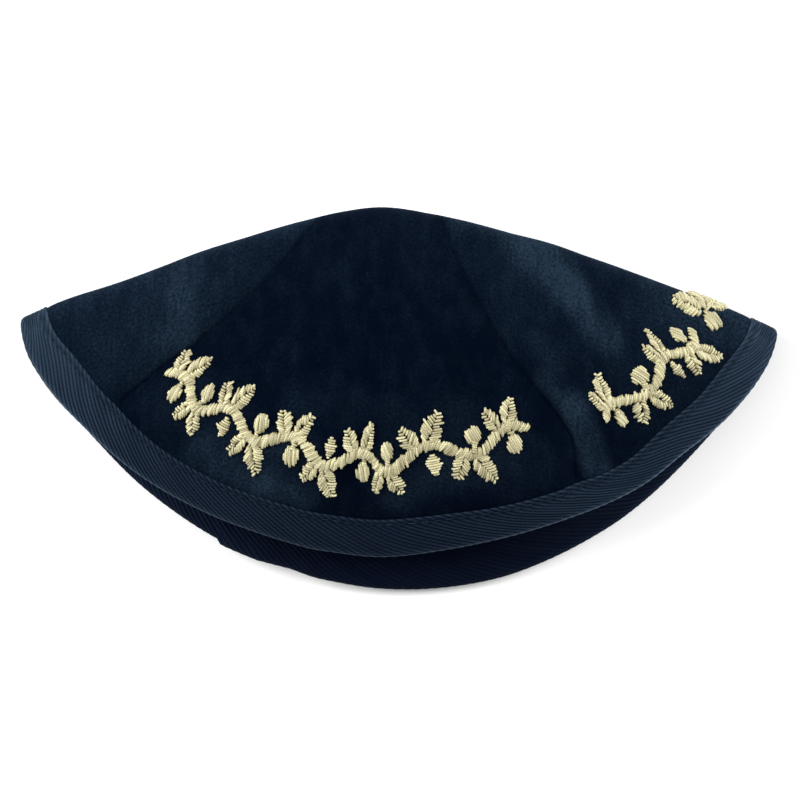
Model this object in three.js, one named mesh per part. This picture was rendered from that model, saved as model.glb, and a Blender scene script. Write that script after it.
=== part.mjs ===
import * as THREE from 'three';

// A soft skullcap of four velvet panels with a woven tape round its rim, folded in half and lying flat.
// Millimetres. +X runs along the fold, +Y from the open mouth towards the fold, +Z up from the table.
// The whole cloth is drawn in one flat plane: x along the fold, s along the cloth from the fold's outer edge,
// with s below 0 on the upper layer and above 0 on the lower one. surfacePoint() bends it into the cap.

// Driving dimensions
const halfLength = 93.2; // middle of the fold to the cloth's edge at each tip
const ridgeRise = 30.4; // tips to the highest point of the fold, seen from above
const frontDrop = 53.8; // tips to the lowest point of the upper layer's edge, seen from above
const backDrop = 62.4; // tips to the lowest point of the lower layer's edge, seen from above
const foldRadius = 7; // bend of the cloth at the middle of the fold
const climbAngle = 31; // degrees, rise of the upper layer where it leaves the fold
const bowRadius = 74; // arch of the upper layer from the fold to its edge
const pileFace = 1.5; // velvet face above the middle of the cloth
const clothBack = 0.7; // plain back below the middle of the cloth
const pressedHalf = 0.5; // half of the cloth's thickness where the tape grips it
const pileShoulder = 2; // width over which the pile rises beside the tape
const tapeWidth = 9.4; // each leg of the folded tape, from the cloth's edge
const tapeThickness = 1;
const tipNarrowing = 0.5; // share of the tape's width taken up by the bend at each tip
const tipReach = 13; // length of rim, each side of a tip, over which the tape narrows
const clearance = 0.3; // free gap between neighbouring pieces
const lapLength = 12; // the tape's end lapped over its start, at full thickness
const lapRise = 1; // extra thickness at the lap
const lapStepLength = 0.4; // the cut end of the lap
const lapEase = 10; // length over which the hidden end tapers out
const lapLiftWidth = 40; // reach of the lift that the lap gives the lower layer
const lapLiftShare = 1.15; // that lift, as a share of lapRise
const seamDip = 0.8; // depth of the groove that each seam pulls into the velvet
const seamDipWidth = 6;
const foldDepth = 1.4; // height of the tallest soft swelling of the upper layer

// Mesh fineness
const rimStep = 5.4;
const tipStep = 1.5;
const columnStep = 8.2;
const rowStep = 8.4;
const foldRowShares = [0.16, 0.32, 0.48, 0.66, 0.84, 1.04]; // of a quarter turn round the widest fold
const bendSides = 4; // facets of the tape's bend
const weldDistance = 0.2;
const probe = 0.05; // step for slopes and normals
const stride = 1; // longest step of a walk over the cloth
const loopDivisions = 2000;
const stationSlices = 400;
const hair = 1e-6; // lengths below this count as nothing
const leastTriangle = 1e-3; // smallest triangle area that a fan may have

// Sections across the fold. x is a share of halfLength; ridge, fold, climb and bow are shares of ridgeRise,
// foldRadius, climbAngle and bowRadius.
const sections = [
  { x: -1.0, ridge: 0.1, fold: 0.47, climb: 0.36, bow: 0.47 },
  { x: -0.9, ridge: 0.238, fold: 0.5, climb: 0.46, bow: 0.56 },
  { x: -0.75, ridge: 0.385, fold: 0.66, climb: 0.62, bow: 0.72 },
  { x: -0.5, ridge: 0.66, fold: 0.86, climb: 0.82, bow: 0.88 },
  { x: -0.25, ridge: 0.893, fold: 0.97, climb: 0.95, bow: 0.97 },
  { x: -0.06, ridge: 1.0, fold: 1.0, climb: 1.0, bow: 1.0 },
  { x: 0.1, ridge: 0.938, fold: 1.0, climb: 1.0, bow: 1.0 },
  { x: 0.25, ridge: 0.828, fold: 0.97, climb: 0.96, bow: 0.97 },
  { x: 0.5, ridge: 0.6, fold: 0.86, climb: 0.84, bow: 0.88 },
  { x: 0.75, ridge: 0.325, fold: 0.66, climb: 0.64, bow: 0.72 },
  { x: 0.9, ridge: 0.15, fold: 0.5, climb: 0.46, bow: 0.56 },
  { x: 1.0, ridge: 0.008, fold: 0.47, climb: 0.36, bow: 0.47 },
];

// The rim between the tips. x is a share of halfLength; front and back are shares of frontDrop and backDrop,
// measured down from the tips as seen from above; tape is the share of tapeWidth caught on the upper layer.
const rim = [
  { x: -0.985, front: 0.06, back: 0.05, tape: 1 },
  { x: -0.95, front: 0.174, back: 0.15, tape: 1 },
  { x: -0.9, front: 0.29, back: 0.25, tape: 1 },
  { x: -0.8, front: 0.462, back: 0.415, tape: 0.95 },
  { x: -0.7, front: 0.61, back: 0.567, tape: 0.91 },
  { x: -0.6, front: 0.72, back: 0.686, tape: 0.9 },
  { x: -0.5, front: 0.806, back: 0.783, tape: 0.91 },
  { x: -0.42, front: 0.861, back: 0.84, tape: 0.93 },
  { x: -0.3, front: 0.93, back: 0.91, tape: 0.97 },
  { x: -0.2, front: 0.972, back: 0.96, tape: 1 },
  { x: -0.05, front: 1.0, back: 0.996, tape: 1 },
  { x: 0.1, front: 0.972, back: 0.995, tape: 0.95 },
  { x: 0.25, front: 0.922, back: 0.96, tape: 0.83 },
  { x: 0.4, front: 0.85, back: 0.88, tape: 0.75 },
  { x: 0.55, front: 0.755, back: 0.76, tape: 0.73 },
  { x: 0.65, front: 0.665, back: 0.65, tape: 0.74 },
  { x: 0.75, front: 0.53, back: 0.51, tape: 0.83 },
  { x: 0.85, front: 0.395, back: 0.347, tape: 0.87 },
  { x: 0.9, front: 0.305, back: 0.262, tape: 0.89 },
  { x: 0.95, front: 0.193, back: 0.166, tape: 0.92 },
  { x: 0.985, front: 0.08, back: 0.07, tape: 0.96 },
];

// The crown point where the four seams meet, just behind the fold, and the seams in order round the rim.
// end is the x share where a seam reaches the rim; via lists points on its way, as x shares and drop shares.
const crown = { x: 0.035, drop: -0.36, layer: 'back' };
const seams = [
  {
    layer: 'front', end: -0.808,
    via: [
      { x: -0.18, drop: -0.537 }, { x: -0.34, drop: -0.27 },
      { x: -0.52, drop: 0.02 }, { x: -0.65, drop: 0.18 },
    ],
  },
  {
    layer: 'front', end: 0.492,
    via: [
      { x: 0.1, drop: -0.535 }, { x: 0.151, drop: -0.353 }, { x: 0.224, drop: -0.1 },
      { x: 0.285, drop: 0.077 }, { x: 0.38, drop: 0.287 }, { x: 0.456, drop: 0.46 },
    ],
  },
  { layer: 'back', end: 0.68, via: [{ x: 0.33, drop: -0.04 }, { x: 0.5, drop: 0.2 }] },
  { layer: 'back', end: -0.38, via: [{ x: -0.13, drop: 0.04 }, { x: -0.25, drop: 0.36 }] },
];
const panelNames = ['panel_front', 'panel_right', 'panel_back', 'panel_left'];
const lapStart = { x: -0.475, layer: 'back' }; // where the lapped end of the tape shows

// Soft swellings (height above 0) and hollows (below 0). Each runs from one point to another and fades over
// width, a share of halfLength. height is a share of foldDepth.
const swellings = [
  { layer: 'front', from: { x: -0.62, drop: -0.02 }, to: { x: -0.52, drop: -0.16 }, width: 0.2, height: 0.9 },
  { layer: 'front', from: { x: -0.4, drop: 0.5 }, to: { x: -0.2, drop: 0.6 }, width: 0.14, height: 0.5 },
  { layer: 'front', from: { x: 0.4, drop: -0.28 }, to: { x: 0.56, drop: 0.02 }, width: 0.15, height: 0.8 },
  { layer: 'front', from: { x: 0.36, drop: 0.16 }, to: { x: 0.52, drop: 0.42 }, width: 0.09, height: 0.7 },
  { layer: 'front', from: { x: 0.2, drop: -0.3 }, to: { x: 0.34, drop: 0.14 }, width: 0.1, height: -0.5 },
  { layer: 'front', from: { x: -0.12, drop: 0.1 }, to: { x: 0.1, drop: 0.12 }, width: 0.3, height: -0.4 },
];

// Sizes that follow
const tapeInner = pressedHalf + clearance;
const tapeOuter = tapeInner + tapeThickness;
const layerHeight = tapeOuter;
const tipY = (backDrop + tapeOuter - ridgeRise - pileFace) / 2;
const quarterTurn = Math.PI / 2;

// A smooth curve through one column of a table, at a share x
function columnAt(table, column, x) {
  const last = table.length - 1;
  const slope = (i) => {
    const a = table[Math.max(i - 1, 0)];
    const b = table[Math.min(i + 1, last)];
    return (b[column] - a[column]) / (b.x - a.x);
  };
  if (x <= table[0].x) return table[0][column] + slope(0) * (x - table[0].x);
  if (x >= table[last].x) return table[last][column] + slope(last) * (x - table[last].x);
  const i = table.findIndex((row) => row.x > x) - 1;
  const gap = table[i + 1].x - table[i].x;
  const t = (x - table[i].x) / gap;
  const [start, end] = [table[i][column], table[i + 1][column]];
  return (2 * t ** 3 - 3 * t ** 2 + 1) * start + (t ** 3 - 2 * t ** 2 + t) * gap * slope(i)
    + (3 * t ** 2 - 2 * t ** 3) * end + (t ** 3 - t ** 2) * gap * slope(i + 1);
}

// The bent section at x: the fold's edge, its radius, the turn at which the arch takes over, and the arch
function sectionAt(x) {
  const share = x / halfLength;
  const radius = foldRadius * columnAt(sections, 'fold', share);
  const turn = Math.PI - THREE.MathUtils.degToRad(climbAngle) * columnAt(sections, 'climb', share);
  const arch = bowRadius * columnAt(sections, 'bow', share);
  const centreY = tipY + ridgeRise * columnAt(sections, 'ridge', share) - radius;
  return { radius, turn, arch, centreY };
}

// Where a point seen from above lies on the flat cloth
function onCloth(xShare, drop, layer) {
  const x = xShare * halfLength;
  const { radius, turn, arch, centreY } = sectionAt(x);
  const y = tipY - drop * (layer === 'front' ? frontDrop : backDrop);
  const inFold = THREE.MathUtils.clamp((y - centreY) / radius, -1, 1);
  if (layer === 'back') {
    const s = y > centreY ? (quarterTurn - Math.asin(inFold)) * radius : quarterTurn * radius + centreY - y;
    return new THREE.Vector2(x, s);
  }
  const foldEndsAt = centreY + radius * Math.sin(turn);
  if (y > foldEndsAt) return new THREE.Vector2(x, (Math.asin(inFold) - quarterTurn) * radius);
  const archSine = (y - centreY + (arch - radius) * Math.sin(turn)) / arch;
  const angle = Math.PI - Math.asin(THREE.MathUtils.clamp(archSine, -1, 1));
  return new THREE.Vector2(x, -(turn - quarterTurn) * radius - (angle - turn) * arch);
}

const closestOnLine = new THREE.Vector2();
const lineDirection = new THREE.Vector2();

function distanceToLine(point, start, end) {
  lineDirection.subVectors(end, start);
  const share = closestOnLine.subVectors(point, start).dot(lineDirection) / lineDirection.lengthSq();
  closestOnLine.copy(start).addScaledVector(lineDirection, THREE.MathUtils.clamp(share, 0, 1));
  return closestOnLine.distanceTo(point);
}

// A bump that fades to nothing at its width
const fade = (distance, width) => (distance < width ? (1 - (distance / width) ** 2) ** 2 : 0);

const reliefLines = swellings.map((row) => ({
  start: onCloth(row.from.x, row.from.drop, row.layer),
  end: onCloth(row.to.x, row.to.drop, row.layer),
  width: row.width * halfLength,
  height: row.height * foldDepth,
}));
const seamGrooves = [];

// How far the cloth stands out from its plain bent form
function reliefAt(x, s) {
  const point = new THREE.Vector2(x, s);
  let height = 0;
  for (const line of reliefLines) {
    height += line.height * fade(distanceToLine(point, line.start, line.end), line.width);
  }
  let nearest = seamDipWidth;
  for (const line of seamGrooves) nearest = Math.min(nearest, distanceToLine(point, line.start, line.end));
  return height - seamDip * fade(nearest, seamDipWidth);
}

// The middle of the cloth in space
function surfacePoint(x, s) {
  const { radius, turn, arch, centreY } = sectionAt(x);
  const angle = quarterTurn - s / radius;
  let facing = 0;
  let y = centreY - s + quarterTurn * radius;
  let z = layerHeight;
  if (angle > turn) {
    facing = turn + ((angle - turn) * radius) / arch;
    y = centreY + (radius - arch) * Math.sin(turn) + arch * Math.sin(facing);
    z = layerHeight + radius + (arch - radius) * Math.cos(turn) - arch * Math.cos(facing);
  } else if (angle > 0) {
    facing = angle;
    y = centreY + radius * Math.sin(angle);
    z = layerHeight + radius * (1 - Math.cos(angle));
  }
  const relief = reliefAt(x, s);
  return new THREE.Vector3(x, y + relief * Math.sin(facing), z - relief * Math.cos(facing));
}

// The two directions of the cloth and its outward normal at a point
function frameAt(x, s) {
  const alongX = surfacePoint(x + probe, s).sub(surfacePoint(x - probe, s)).divideScalar(2 * probe);
  const alongS = surfacePoint(x, s + probe).sub(surfacePoint(x, s - probe)).divideScalar(2 * probe);
  const normal = new THREE.Vector3().crossVectors(alongX, alongS).normalize();
  return { alongX, alongS, normal };
}

function clothPoint(flat, offset) {
  return surfacePoint(flat.x, flat.y).addScaledVector(frameAt(flat.x, flat.y).normal, offset);
}

// The rim's loop on the flat cloth, from the left tip along the upper layer and back along the lower one
function rimLoop() {
  const front = rim.map((row) => onCloth(row.x, row.front, 'front'));
  const back = rim.map((row) => onCloth(row.x, row.back, 'back')).reverse();
  const tips = [new THREE.Vector2(-halfLength, 0), new THREE.Vector2(halfLength, 0)];
  const points = [tips[0], ...front, tips[1], ...back].map((p) => new THREE.Vector3(p.x, p.y, 0));
  const curve = new THREE.CatmullRomCurve3(points, true, 'centripetal');
  curve.arcLengthDivisions = loopDivisions;
  return curve;
}

const loop = rimLoop();
const loopLength = loop.getLength();

function loopPoint(length) {
  const p = loop.getPointAt(THREE.MathUtils.euclideanModulo(length / loopLength, 1));
  return new THREE.Vector2(p.x, p.y);
}

// The length along the loop at which it passes x on one layer
function loopLengthAt(xShare, layer) {
  const side = layer === 'front' ? -1 : 1;
  let best = { length: 0, miss: Infinity };
  for (let i = 0; i < loopDivisions; i++) {
    const length = (i / loopDivisions) * loopLength;
    const p = loopPoint(length);
    const miss = Math.abs(p.x - xShare * halfLength);
    if (p.y * side > 0 && miss < best.miss) best = { length, miss };
  }
  return best.length;
}

// Lengths along the loop from start to end, close together where the rim bends over the fold
function rimStations(start, end) {
  const stepAt = (length) => {
    const s = Math.abs(loopPoint(length).y);
    return THREE.MathUtils.mapLinear(THREE.MathUtils.clamp(s, foldRadius, 3 * foldRadius),
      foldRadius, 3 * foldRadius, tipStep, rimStep);
  };
  const slice = (end - start) / stationSlices;
  const sums = [0];
  for (let i = 0; i < stationSlices; i++) sums.push(sums[i] + slice / stepAt(start + (i + 0.5) * slice));
  const steps = Math.max(1, Math.round(sums[stationSlices]));
  const stations = [];
  for (let i = 0; i <= steps; i++) {
    const target = (i / steps) * sums[stationSlices];
    const k = sums.findIndex((sum) => sum >= target - hair);
    const share = k === 0 ? 0 : (target - sums[k - 1]) / (sums[k] - sums[k - 1]);
    stations.push(start + Math.max(0, k - 1 + share) * slice);
  }
  return stations;
}

// The rim at a station: its point, the cloth's normal there and the way inward
function rimFrame(length) {
  const at = loopPoint(length);
  const ahead = loopPoint(length + probe);
  const behind = loopPoint(length - probe);
  const tangent = surfacePoint(ahead.x, ahead.y).sub(surfacePoint(behind.x, behind.y)).normalize();
  const { normal } = frameAt(at.x, at.y);
  const inward = new THREE.Vector3().crossVectors(normal, tangent);
  return { edge: surfacePoint(at.x, at.y), normal, inward };
}

// Walks inward from the rim, square to it and straight over the cloth, and returns the flat points reached
function walkInward(length, distances) {
  const at = loopPoint(length);
  const direction = rimFrame(length).inward;
  let walked = 0;
  return distances.map((distance) => {
    const strides = Math.max(1, Math.ceil((distance - walked) / stride));
    const pace = (distance - walked) / strides;
    for (let i = 0; i < strides && pace > 0; i++) {
      const { alongX, alongS, normal } = frameAt(at.x, at.y);
      direction.addScaledVector(normal, -direction.dot(normal)).normalize();
      const [xx, xs, ss] = [alongX.lengthSq(), alongX.dot(alongS), alongS.lengthSq()];
      const [dx, ds] = [direction.dot(alongX), direction.dot(alongS)];
      const scale = pace / (xx * ss - xs * xs);
      at.x += scale * (ss * dx - xs * ds);
      at.y += scale * (xx * ds - xs * dx);
    }
    walked = distance;
    return at.clone();
  });
}

// The tape's width at a station: the bend at each tip takes up part of it
function tapeWidthAt(length) {
  const { x, y: s } = loopPoint(length);
  const caught = s < 0 ? columnAt(rim, 'tape', x / halfLength) : 1;
  return tapeWidth * caught * (1 - tipNarrowing * Math.exp(-((s / tipReach) ** 2)));
}

// Flat points inward of a station: the cloth's edge, the tape's middle, the tape's edge and the full pile
function rimRows(length) {
  const pressed = tapeWidthAt(length) + clearance;
  return walkInward(length, [0, pressed / 2, pressed, pressed + pileShoulder]);
}

const crownPoint = onCloth(crown.x, crown.drop, crown.layer);

// The middle line of a seam, from the crown point to the edge of the full pile
function seamLine(seam) {
  const via = seam.via.map((p) => onCloth(p.x, p.drop, seam.layer));
  const foot = rimRows(seam.length)[3];
  const points = [crownPoint, ...via, foot].map((p) => new THREE.Vector3(p.x, p.y, 0));
  const curve = new THREE.CatmullRomCurve3(points, false, 'centripetal');
  const count = Math.round(curve.getLength() / columnStep);
  return curve.getSpacedPoints(count).map((p) => new THREE.Vector2(p.x, p.y));
}

// The lapped end of the tape lifts the lower layer's edge off the table by its own thickness
const lapBegin = loopLengthAt(lapStart.x, lapStart.layer);
const lapEnd = lapBegin - lapLength - lapEase;
reliefLines.push({
  start: walkInward(lapBegin, [tapeWidth / 2])[0],
  end: walkInward(lapEnd, [tapeWidth / 2])[0],
  width: lapLiftWidth,
  height: -lapRise * lapLiftShare,
});

for (const seam of seams) seam.length = loopLengthAt(seam.end, seam.layer);
for (const seam of seams) seam.line = seamLine(seam);
for (const { line } of seams) line.slice(1).forEach((end, i) => seamGrooves.push({ start: line[i], end }));

// A polygon cut by the line where one coordinate equals value: the part below it and the part above it
function cutPolygon(polygon, axis, value) {
  const parts = [[], []];
  polygon.forEach((a, i) => {
    const b = polygon[(i + 1) % polygon.length];
    const [da, db] = [a[axis] - value, b[axis] - value];
    if (da <= 0) parts[0].push(a);
    if (da >= 0) parts[1].push(a);
    if (da * db < 0) {
      const [low, high] = da < 0 ? [a, b] : [b, a];
      const crossing = low.clone().lerp(high, (value - low[axis]) / (high[axis] - low[axis]));
      crossing[axis] = value;
      parts[0].push(crossing);
      parts[1].push(crossing);
    }
  });
  return parts.filter((part) => Math.abs(polygonArea(part)) > hair);
}

function polygonArea(polygon) {
  return polygon.length < 3 ? 0 : THREE.ShapeUtils.area(polygon);
}

function cutAll(polygons, axis, values) {
  const cutOnce = (list, value) => list.flatMap((polygon) => cutPolygon(polygon, axis, value));
  return values.reduce(cutOnce, polygons);
}

// A convex cell as a fan of triangles, from the corner that gives the fullest ones
function fanTriangles(cell) {
  const fanFrom = (k) => {
    const ring = cell.map((_, i) => cell[(k + i) % cell.length]);
    return ring.slice(2).map((p, i) => [ring[0], ring[i + 1], p]);
  };
  const leastArea = (triangles) => Math.min(...triangles.map(polygonArea));
  const fans = cell.map((_, k) => fanFrom(k)).sort((a, b) => leastArea(b) - leastArea(a));
  if (leastArea(fans[0]) > leastTriangle) return fans[0];
  const middle = cell.reduce((sum, p) => sum.add(p), new THREE.Vector2()).divideScalar(cell.length);
  return cell.map((p, i) => [middle, p, cell[(i + 1) % cell.length]]);
}

// Grid lines of the flat cloth: even columns, and rows that crowd together round the fold
const columns = [];
for (let x = -halfLength + columnStep / 2; x < halfLength; x += columnStep) columns.push(x);
const rows = [0];
const foldRows = foldRowShares.map((share) => share * quarterTurn * foldRadius);
const clothDepth = frontDrop + backDrop;
for (let s = foldRows.at(-1) + rowStep; s < clothDepth; s += rowStep) foldRows.push(s);
for (const s of foldRows) rows.push(s, -s);

// One panel on the flat cloth: strips along the rim under the tape, then a grid up to the seams
function panelTriangles(startSeam, endSeam) {
  const start = startSeam.length + clearance / 2;
  const lapsRound = endSeam.length < startSeam.length;
  const end = endSeam.length + (lapsRound ? loopLength : 0) - clearance / 2;
  const inside = tapeStations.filter((length) => length > start && length < end);
  const wrapped = tapeStations.map((length) => length + loopLength).filter((length) => length < end);
  const lines = [start, ...inside, ...wrapped, end].map(rimRows);

  const beside = (line, side) => line.map((p, i) => {
    const along = line[Math.min(i + 1, line.length - 1)].clone().sub(line[Math.max(i - 1, 0)]).normalize();
    return new THREE.Vector2(p.x - along.y * side, p.y + along.x * side);
  });
  const startLine = beside(startSeam.line, clearance / 2).slice(1, -1);
  const endLine = beside(endSeam.line, -clearance / 2).slice(1, -1);
  const startAway = startLine[0].clone().sub(crownPoint).normalize();
  const endAway = endLine[0].clone().sub(crownPoint).normalize();
  const halfAngle = Math.acos(startAway.dot(endAway)) / 2;
  const toCorner = startAway.add(endAway).normalize().multiplyScalar(clearance / 2 / Math.sin(halfAngle));
  const corner = toCorner.add(crownPoint);
  const field = [...lines.map((line) => line[3]), ...endLine.reverse(), corner, ...startLine];

  const cells = cutAll(cutAll([field], 'x', columns), 'y', rows);
  const fieldCorners = cells.flat();
  const triangles = cells.flatMap(fanTriangles);
  const underTape = new Set(lines.flatMap((line) => line.slice(0, 3)));
  for (let i = 0; i + 1 < lines.length; i++) {
    const [a, b] = [lines[i], lines[i + 1]];
    for (const row of [0, 1]) triangles.push(...fanTriangles([a[row], b[row], b[row + 1], a[row + 1]]));
    const isBetween = (p) => distanceToLine(p, a[3], b[3]) < hair
      && p.distanceTo(a[3]) > hair && p.distanceTo(b[3]) > hair;
    const between = fieldCorners.filter(isBetween)
      .sort((p, q) => p.distanceTo(b[3]) - q.distanceTo(b[3]))
      .filter((p, k, list) => k === 0 || p.distanceTo(list[k - 1]) > hair);
    triangles.push(...fanTriangles([a[2], b[2], b[3], ...between, a[3]]));
  }
  return { triangles, underTape };
}

// A panel as a closed wall: its two faces stand off the middle of the cloth, joined round the edge
function panelGeometry(startSeam, endSeam) {
  const { triangles, underTape } = panelTriangles(startSeam, endSeam);
  const corners = [];
  const cornerIndex = (p) => {
    let index = corners.findIndex((corner) => corner.flat.distanceTo(p) < weldDistance);
    if (index < 0) index = corners.push({ flat: p, pressed: false }) - 1;
    if (underTape.has(p)) corners[index].pressed = true;
    return index;
  };
  const faces = triangles.reverse().map((triangle) => triangle.map(cornerIndex))
    .filter(([a, b, c]) => a !== b && b !== c && c !== a);
  const positions = [];
  const put = (flat, offset) => positions.push(...clothPoint(flat, offset));
  corners.forEach(({ flat, pressed }) => put(flat, pressed ? pressedHalf : pileFace));
  corners.forEach(({ flat, pressed }) => put(flat, pressed ? -pressedHalf : -clothBack));
  const index = [];
  const count = corners.length;
  const edges = new Set(faces.flatMap(([a, b, c]) => [`${a} ${b}`, `${b} ${c}`, `${c} ${a}`]));
  for (const [a, b, c] of faces) index.push(a, b, c, a + count, c + count, b + count);
  for (const edge of edges) {
    const [a, b] = edge.split(' ').map(Number);
    if (!edges.has(`${b} ${a}`)) index.push(a, a + count, b, b, a + count, b + count);
  }
  return closedGeometry(positions, index);
}

function closedGeometry(positions, index) {
  const geometry = new THREE.BufferGeometry();
  geometry.setAttribute('position', new THREE.Float32BufferAttribute(positions, 3));
  geometry.setIndex(index);
  geometry.computeVertexNormals();
  return geometry;
}

// The tape's stations: every seam and both ends of the lap are stations, and the rest are spread between them
const lapMarks = [lapBegin, lapBegin - lapStepLength, lapBegin - lapLength, lapEnd];
const marks = [...seams.map((seam) => seam.length), ...lapMarks].sort((a, b) => a - b);
const tapeStations = marks.flatMap((mark, i) => {
  const next = i + 1 < marks.length ? marks[i + 1] : marks[0] + loopLength;
  return rimStations(mark, next).slice(0, -1);
}).map((length) => length % loopLength).sort((a, b) => a - b);

// Extra thickness where the tape's end lies over its start: a step at one end, eased at the other
function lapExtra(length) {
  const before = lapBegin - length;
  if (before < lapStepLength / 2 || before > lapLength + lapEase) return 0;
  return lapRise * THREE.MathUtils.clamp((lapLength + lapEase - before) / lapEase, 0, 1);
}

// The folded tape: a U round the cloth's edge, swept along the whole rim
function bindingGeometry() {
  const ring = (length) => {
    const width = tapeWidthAt(length);
    const flats = walkInward(length, [0, width / 2, width]);
    const outer = tapeOuter + lapExtra(length);
    const { edge, normal, inward } = rimFrame(length);
    const bend = (reach, side) => {
      const points = [];
      for (let i = 0; i <= bendSides; i++) {
        const angle = quarterTurn - (side * i * Math.PI) / bendSides;
        points.push(edge.clone().addScaledVector(normal, reach * Math.sin(angle) * side)
          .addScaledVector(inward, -reach * Math.abs(Math.cos(angle))));
      }
      return points;
    };
    return [
      clothPoint(flats[2], outer), clothPoint(flats[1], outer), ...bend(outer, 1),
      clothPoint(flats[1], -outer), clothPoint(flats[2], -outer),
      clothPoint(flats[2], -tapeInner), clothPoint(flats[1], -tapeInner), ...bend(tapeInner, -1),
      clothPoint(flats[1], tapeInner), clothPoint(flats[2], tapeInner),
    ];
  };
  const rings = tapeStations.map(ring);
  const sides = rings[0].length;
  const index = [];
  rings.forEach((_, i) => {
    const [here, there] = [i * sides, ((i + 1) % rings.length) * sides];
    for (let k = 0; k < sides; k++) {
      const m = (k + 1) % sides;
      index.push(here + k, here + m, there + k, there + k, here + m, there + m);
    }
  });
  return closedGeometry(rings.flat().flatMap((p) => [...p]), index);
}

const velvet = new THREE.MeshStandardMaterial({ color: '#0c1420', roughness: 0.95, metalness: 0 });
const twill = new THREE.MeshStandardMaterial({ color: '#1e2a3a', roughness: 0.8, metalness: 0 });

const cap = new THREE.Group();
seams.forEach((seam, i) => {
  const mesh = new THREE.Mesh(panelGeometry(seam, seams[(i + 1) % seams.length]), velvet.clone());
  mesh.name = panelNames[i];
  cap.add(mesh);
});
const binding = new THREE.Mesh(bindingGeometry(), twill);
binding.name = 'binding';
cap.add(binding);

// The origin is the middle of the cap's box, on the table
const box = new THREE.Box3().setFromObject(cap);
const middle = box.getCenter(new THREE.Vector3());
cap.position.set(-middle.x, -middle.y, -box.min.z);

export default cap;
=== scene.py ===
import math

import bpy
import numpy as np
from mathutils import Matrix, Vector


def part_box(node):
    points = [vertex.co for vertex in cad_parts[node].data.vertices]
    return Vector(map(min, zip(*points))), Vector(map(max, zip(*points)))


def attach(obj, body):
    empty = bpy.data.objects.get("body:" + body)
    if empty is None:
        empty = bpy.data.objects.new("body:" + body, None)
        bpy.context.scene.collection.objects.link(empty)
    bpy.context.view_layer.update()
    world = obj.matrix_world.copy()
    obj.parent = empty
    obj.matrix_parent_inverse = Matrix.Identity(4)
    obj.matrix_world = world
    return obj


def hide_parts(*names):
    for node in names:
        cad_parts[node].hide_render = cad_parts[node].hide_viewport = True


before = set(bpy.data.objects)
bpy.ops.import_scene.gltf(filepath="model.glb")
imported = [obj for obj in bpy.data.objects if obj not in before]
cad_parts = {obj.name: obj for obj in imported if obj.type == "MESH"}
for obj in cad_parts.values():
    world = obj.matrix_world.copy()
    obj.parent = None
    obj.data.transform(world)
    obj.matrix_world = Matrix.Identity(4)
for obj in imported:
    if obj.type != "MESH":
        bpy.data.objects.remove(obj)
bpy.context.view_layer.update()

bl_info = {
    "name": "Folded velvet skullcap",
    "version": (1, 0, 0),
    "blender": (4, 5, 0),
    "location": "3D View > Sidebar > Skullcap",
    "description": "Builds the looks of a velvet skullcap, folded flat, around its packed frame",
    "category": "Object",
}

MM = 0.001
NODES = ("panel_front", "panel_right", "panel_back", "panel_left", "binding")
FRAME_LOW = Vector([min(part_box(node)[0][axis] for node in NODES) for axis in range(3)])
FRAME_HIGH = Vector([max(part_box(node)[1][axis] for node in NODES) for axis in range(3)])
QUARTER_TURN = math.pi / 2
HALF_TURN = math.pi
FULL_TURN = 2 * math.pi
# Measures below this count as nothing
HAIR = 1e-12


# Tables


class Table:
    """Rows of named columns, read as smooth curves over the first column."""

    def __init__(self, names, *rows):
        self.columns = dict(zip(names.split(), np.array(rows, float).T))

    def at(self, name, x):
        xs = self.columns["x"]
        ys = self.columns[name]
        ahead = np.minimum(np.arange(len(xs)) + 1, len(xs) - 1)
        behind = np.maximum(np.arange(len(xs)) - 1, 0)
        slopes = (ys[ahead] - ys[behind]) / (xs[ahead] - xs[behind])
        i = np.clip(np.searchsorted(xs, x, side="right") - 1, 0, len(xs) - 2)
        gap = xs[i + 1] - xs[i]
        t = np.clip((x - xs[i]) / gap, 0, 1)
        curve = (2 * t**3 - 3 * t**2 + 1) * ys[i] + (t**3 - 2 * t**2 + t) * gap * slopes[i]
        curve += (3 * t**2 - 2 * t**3) * ys[i + 1] + (t**3 - t**2) * gap * slopes[i + 1]
        return curve + slopes[0] * np.minimum(x - xs[0], 0) + slopes[-1] * np.maximum(x - xs[-1], 0)


# Across the fold: x is a share of half the length, the rest are shares of the sizes they name
SECTIONS = Table(
    "x ridge fold climb bow",
    (-1.0, 0.1, 0.47, 0.36, 0.47),
    (-0.9, 0.238, 0.5, 0.46, 0.56),
    (-0.75, 0.385, 0.66, 0.62, 0.72),
    (-0.5, 0.66, 0.86, 0.82, 0.88),
    (-0.25, 0.893, 0.97, 0.95, 0.97),
    (-0.06, 1.0, 1.0, 1.0, 1.0),
    (0.1, 0.938, 1.0, 1.0, 1.0),
    (0.25, 0.828, 0.97, 0.96, 0.97),
    (0.5, 0.6, 0.86, 0.84, 0.88),
    (0.75, 0.325, 0.66, 0.64, 0.72),
    (0.9, 0.15, 0.5, 0.46, 0.56),
    (1.0, 0.008, 0.47, 0.36, 0.47),
)
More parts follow.
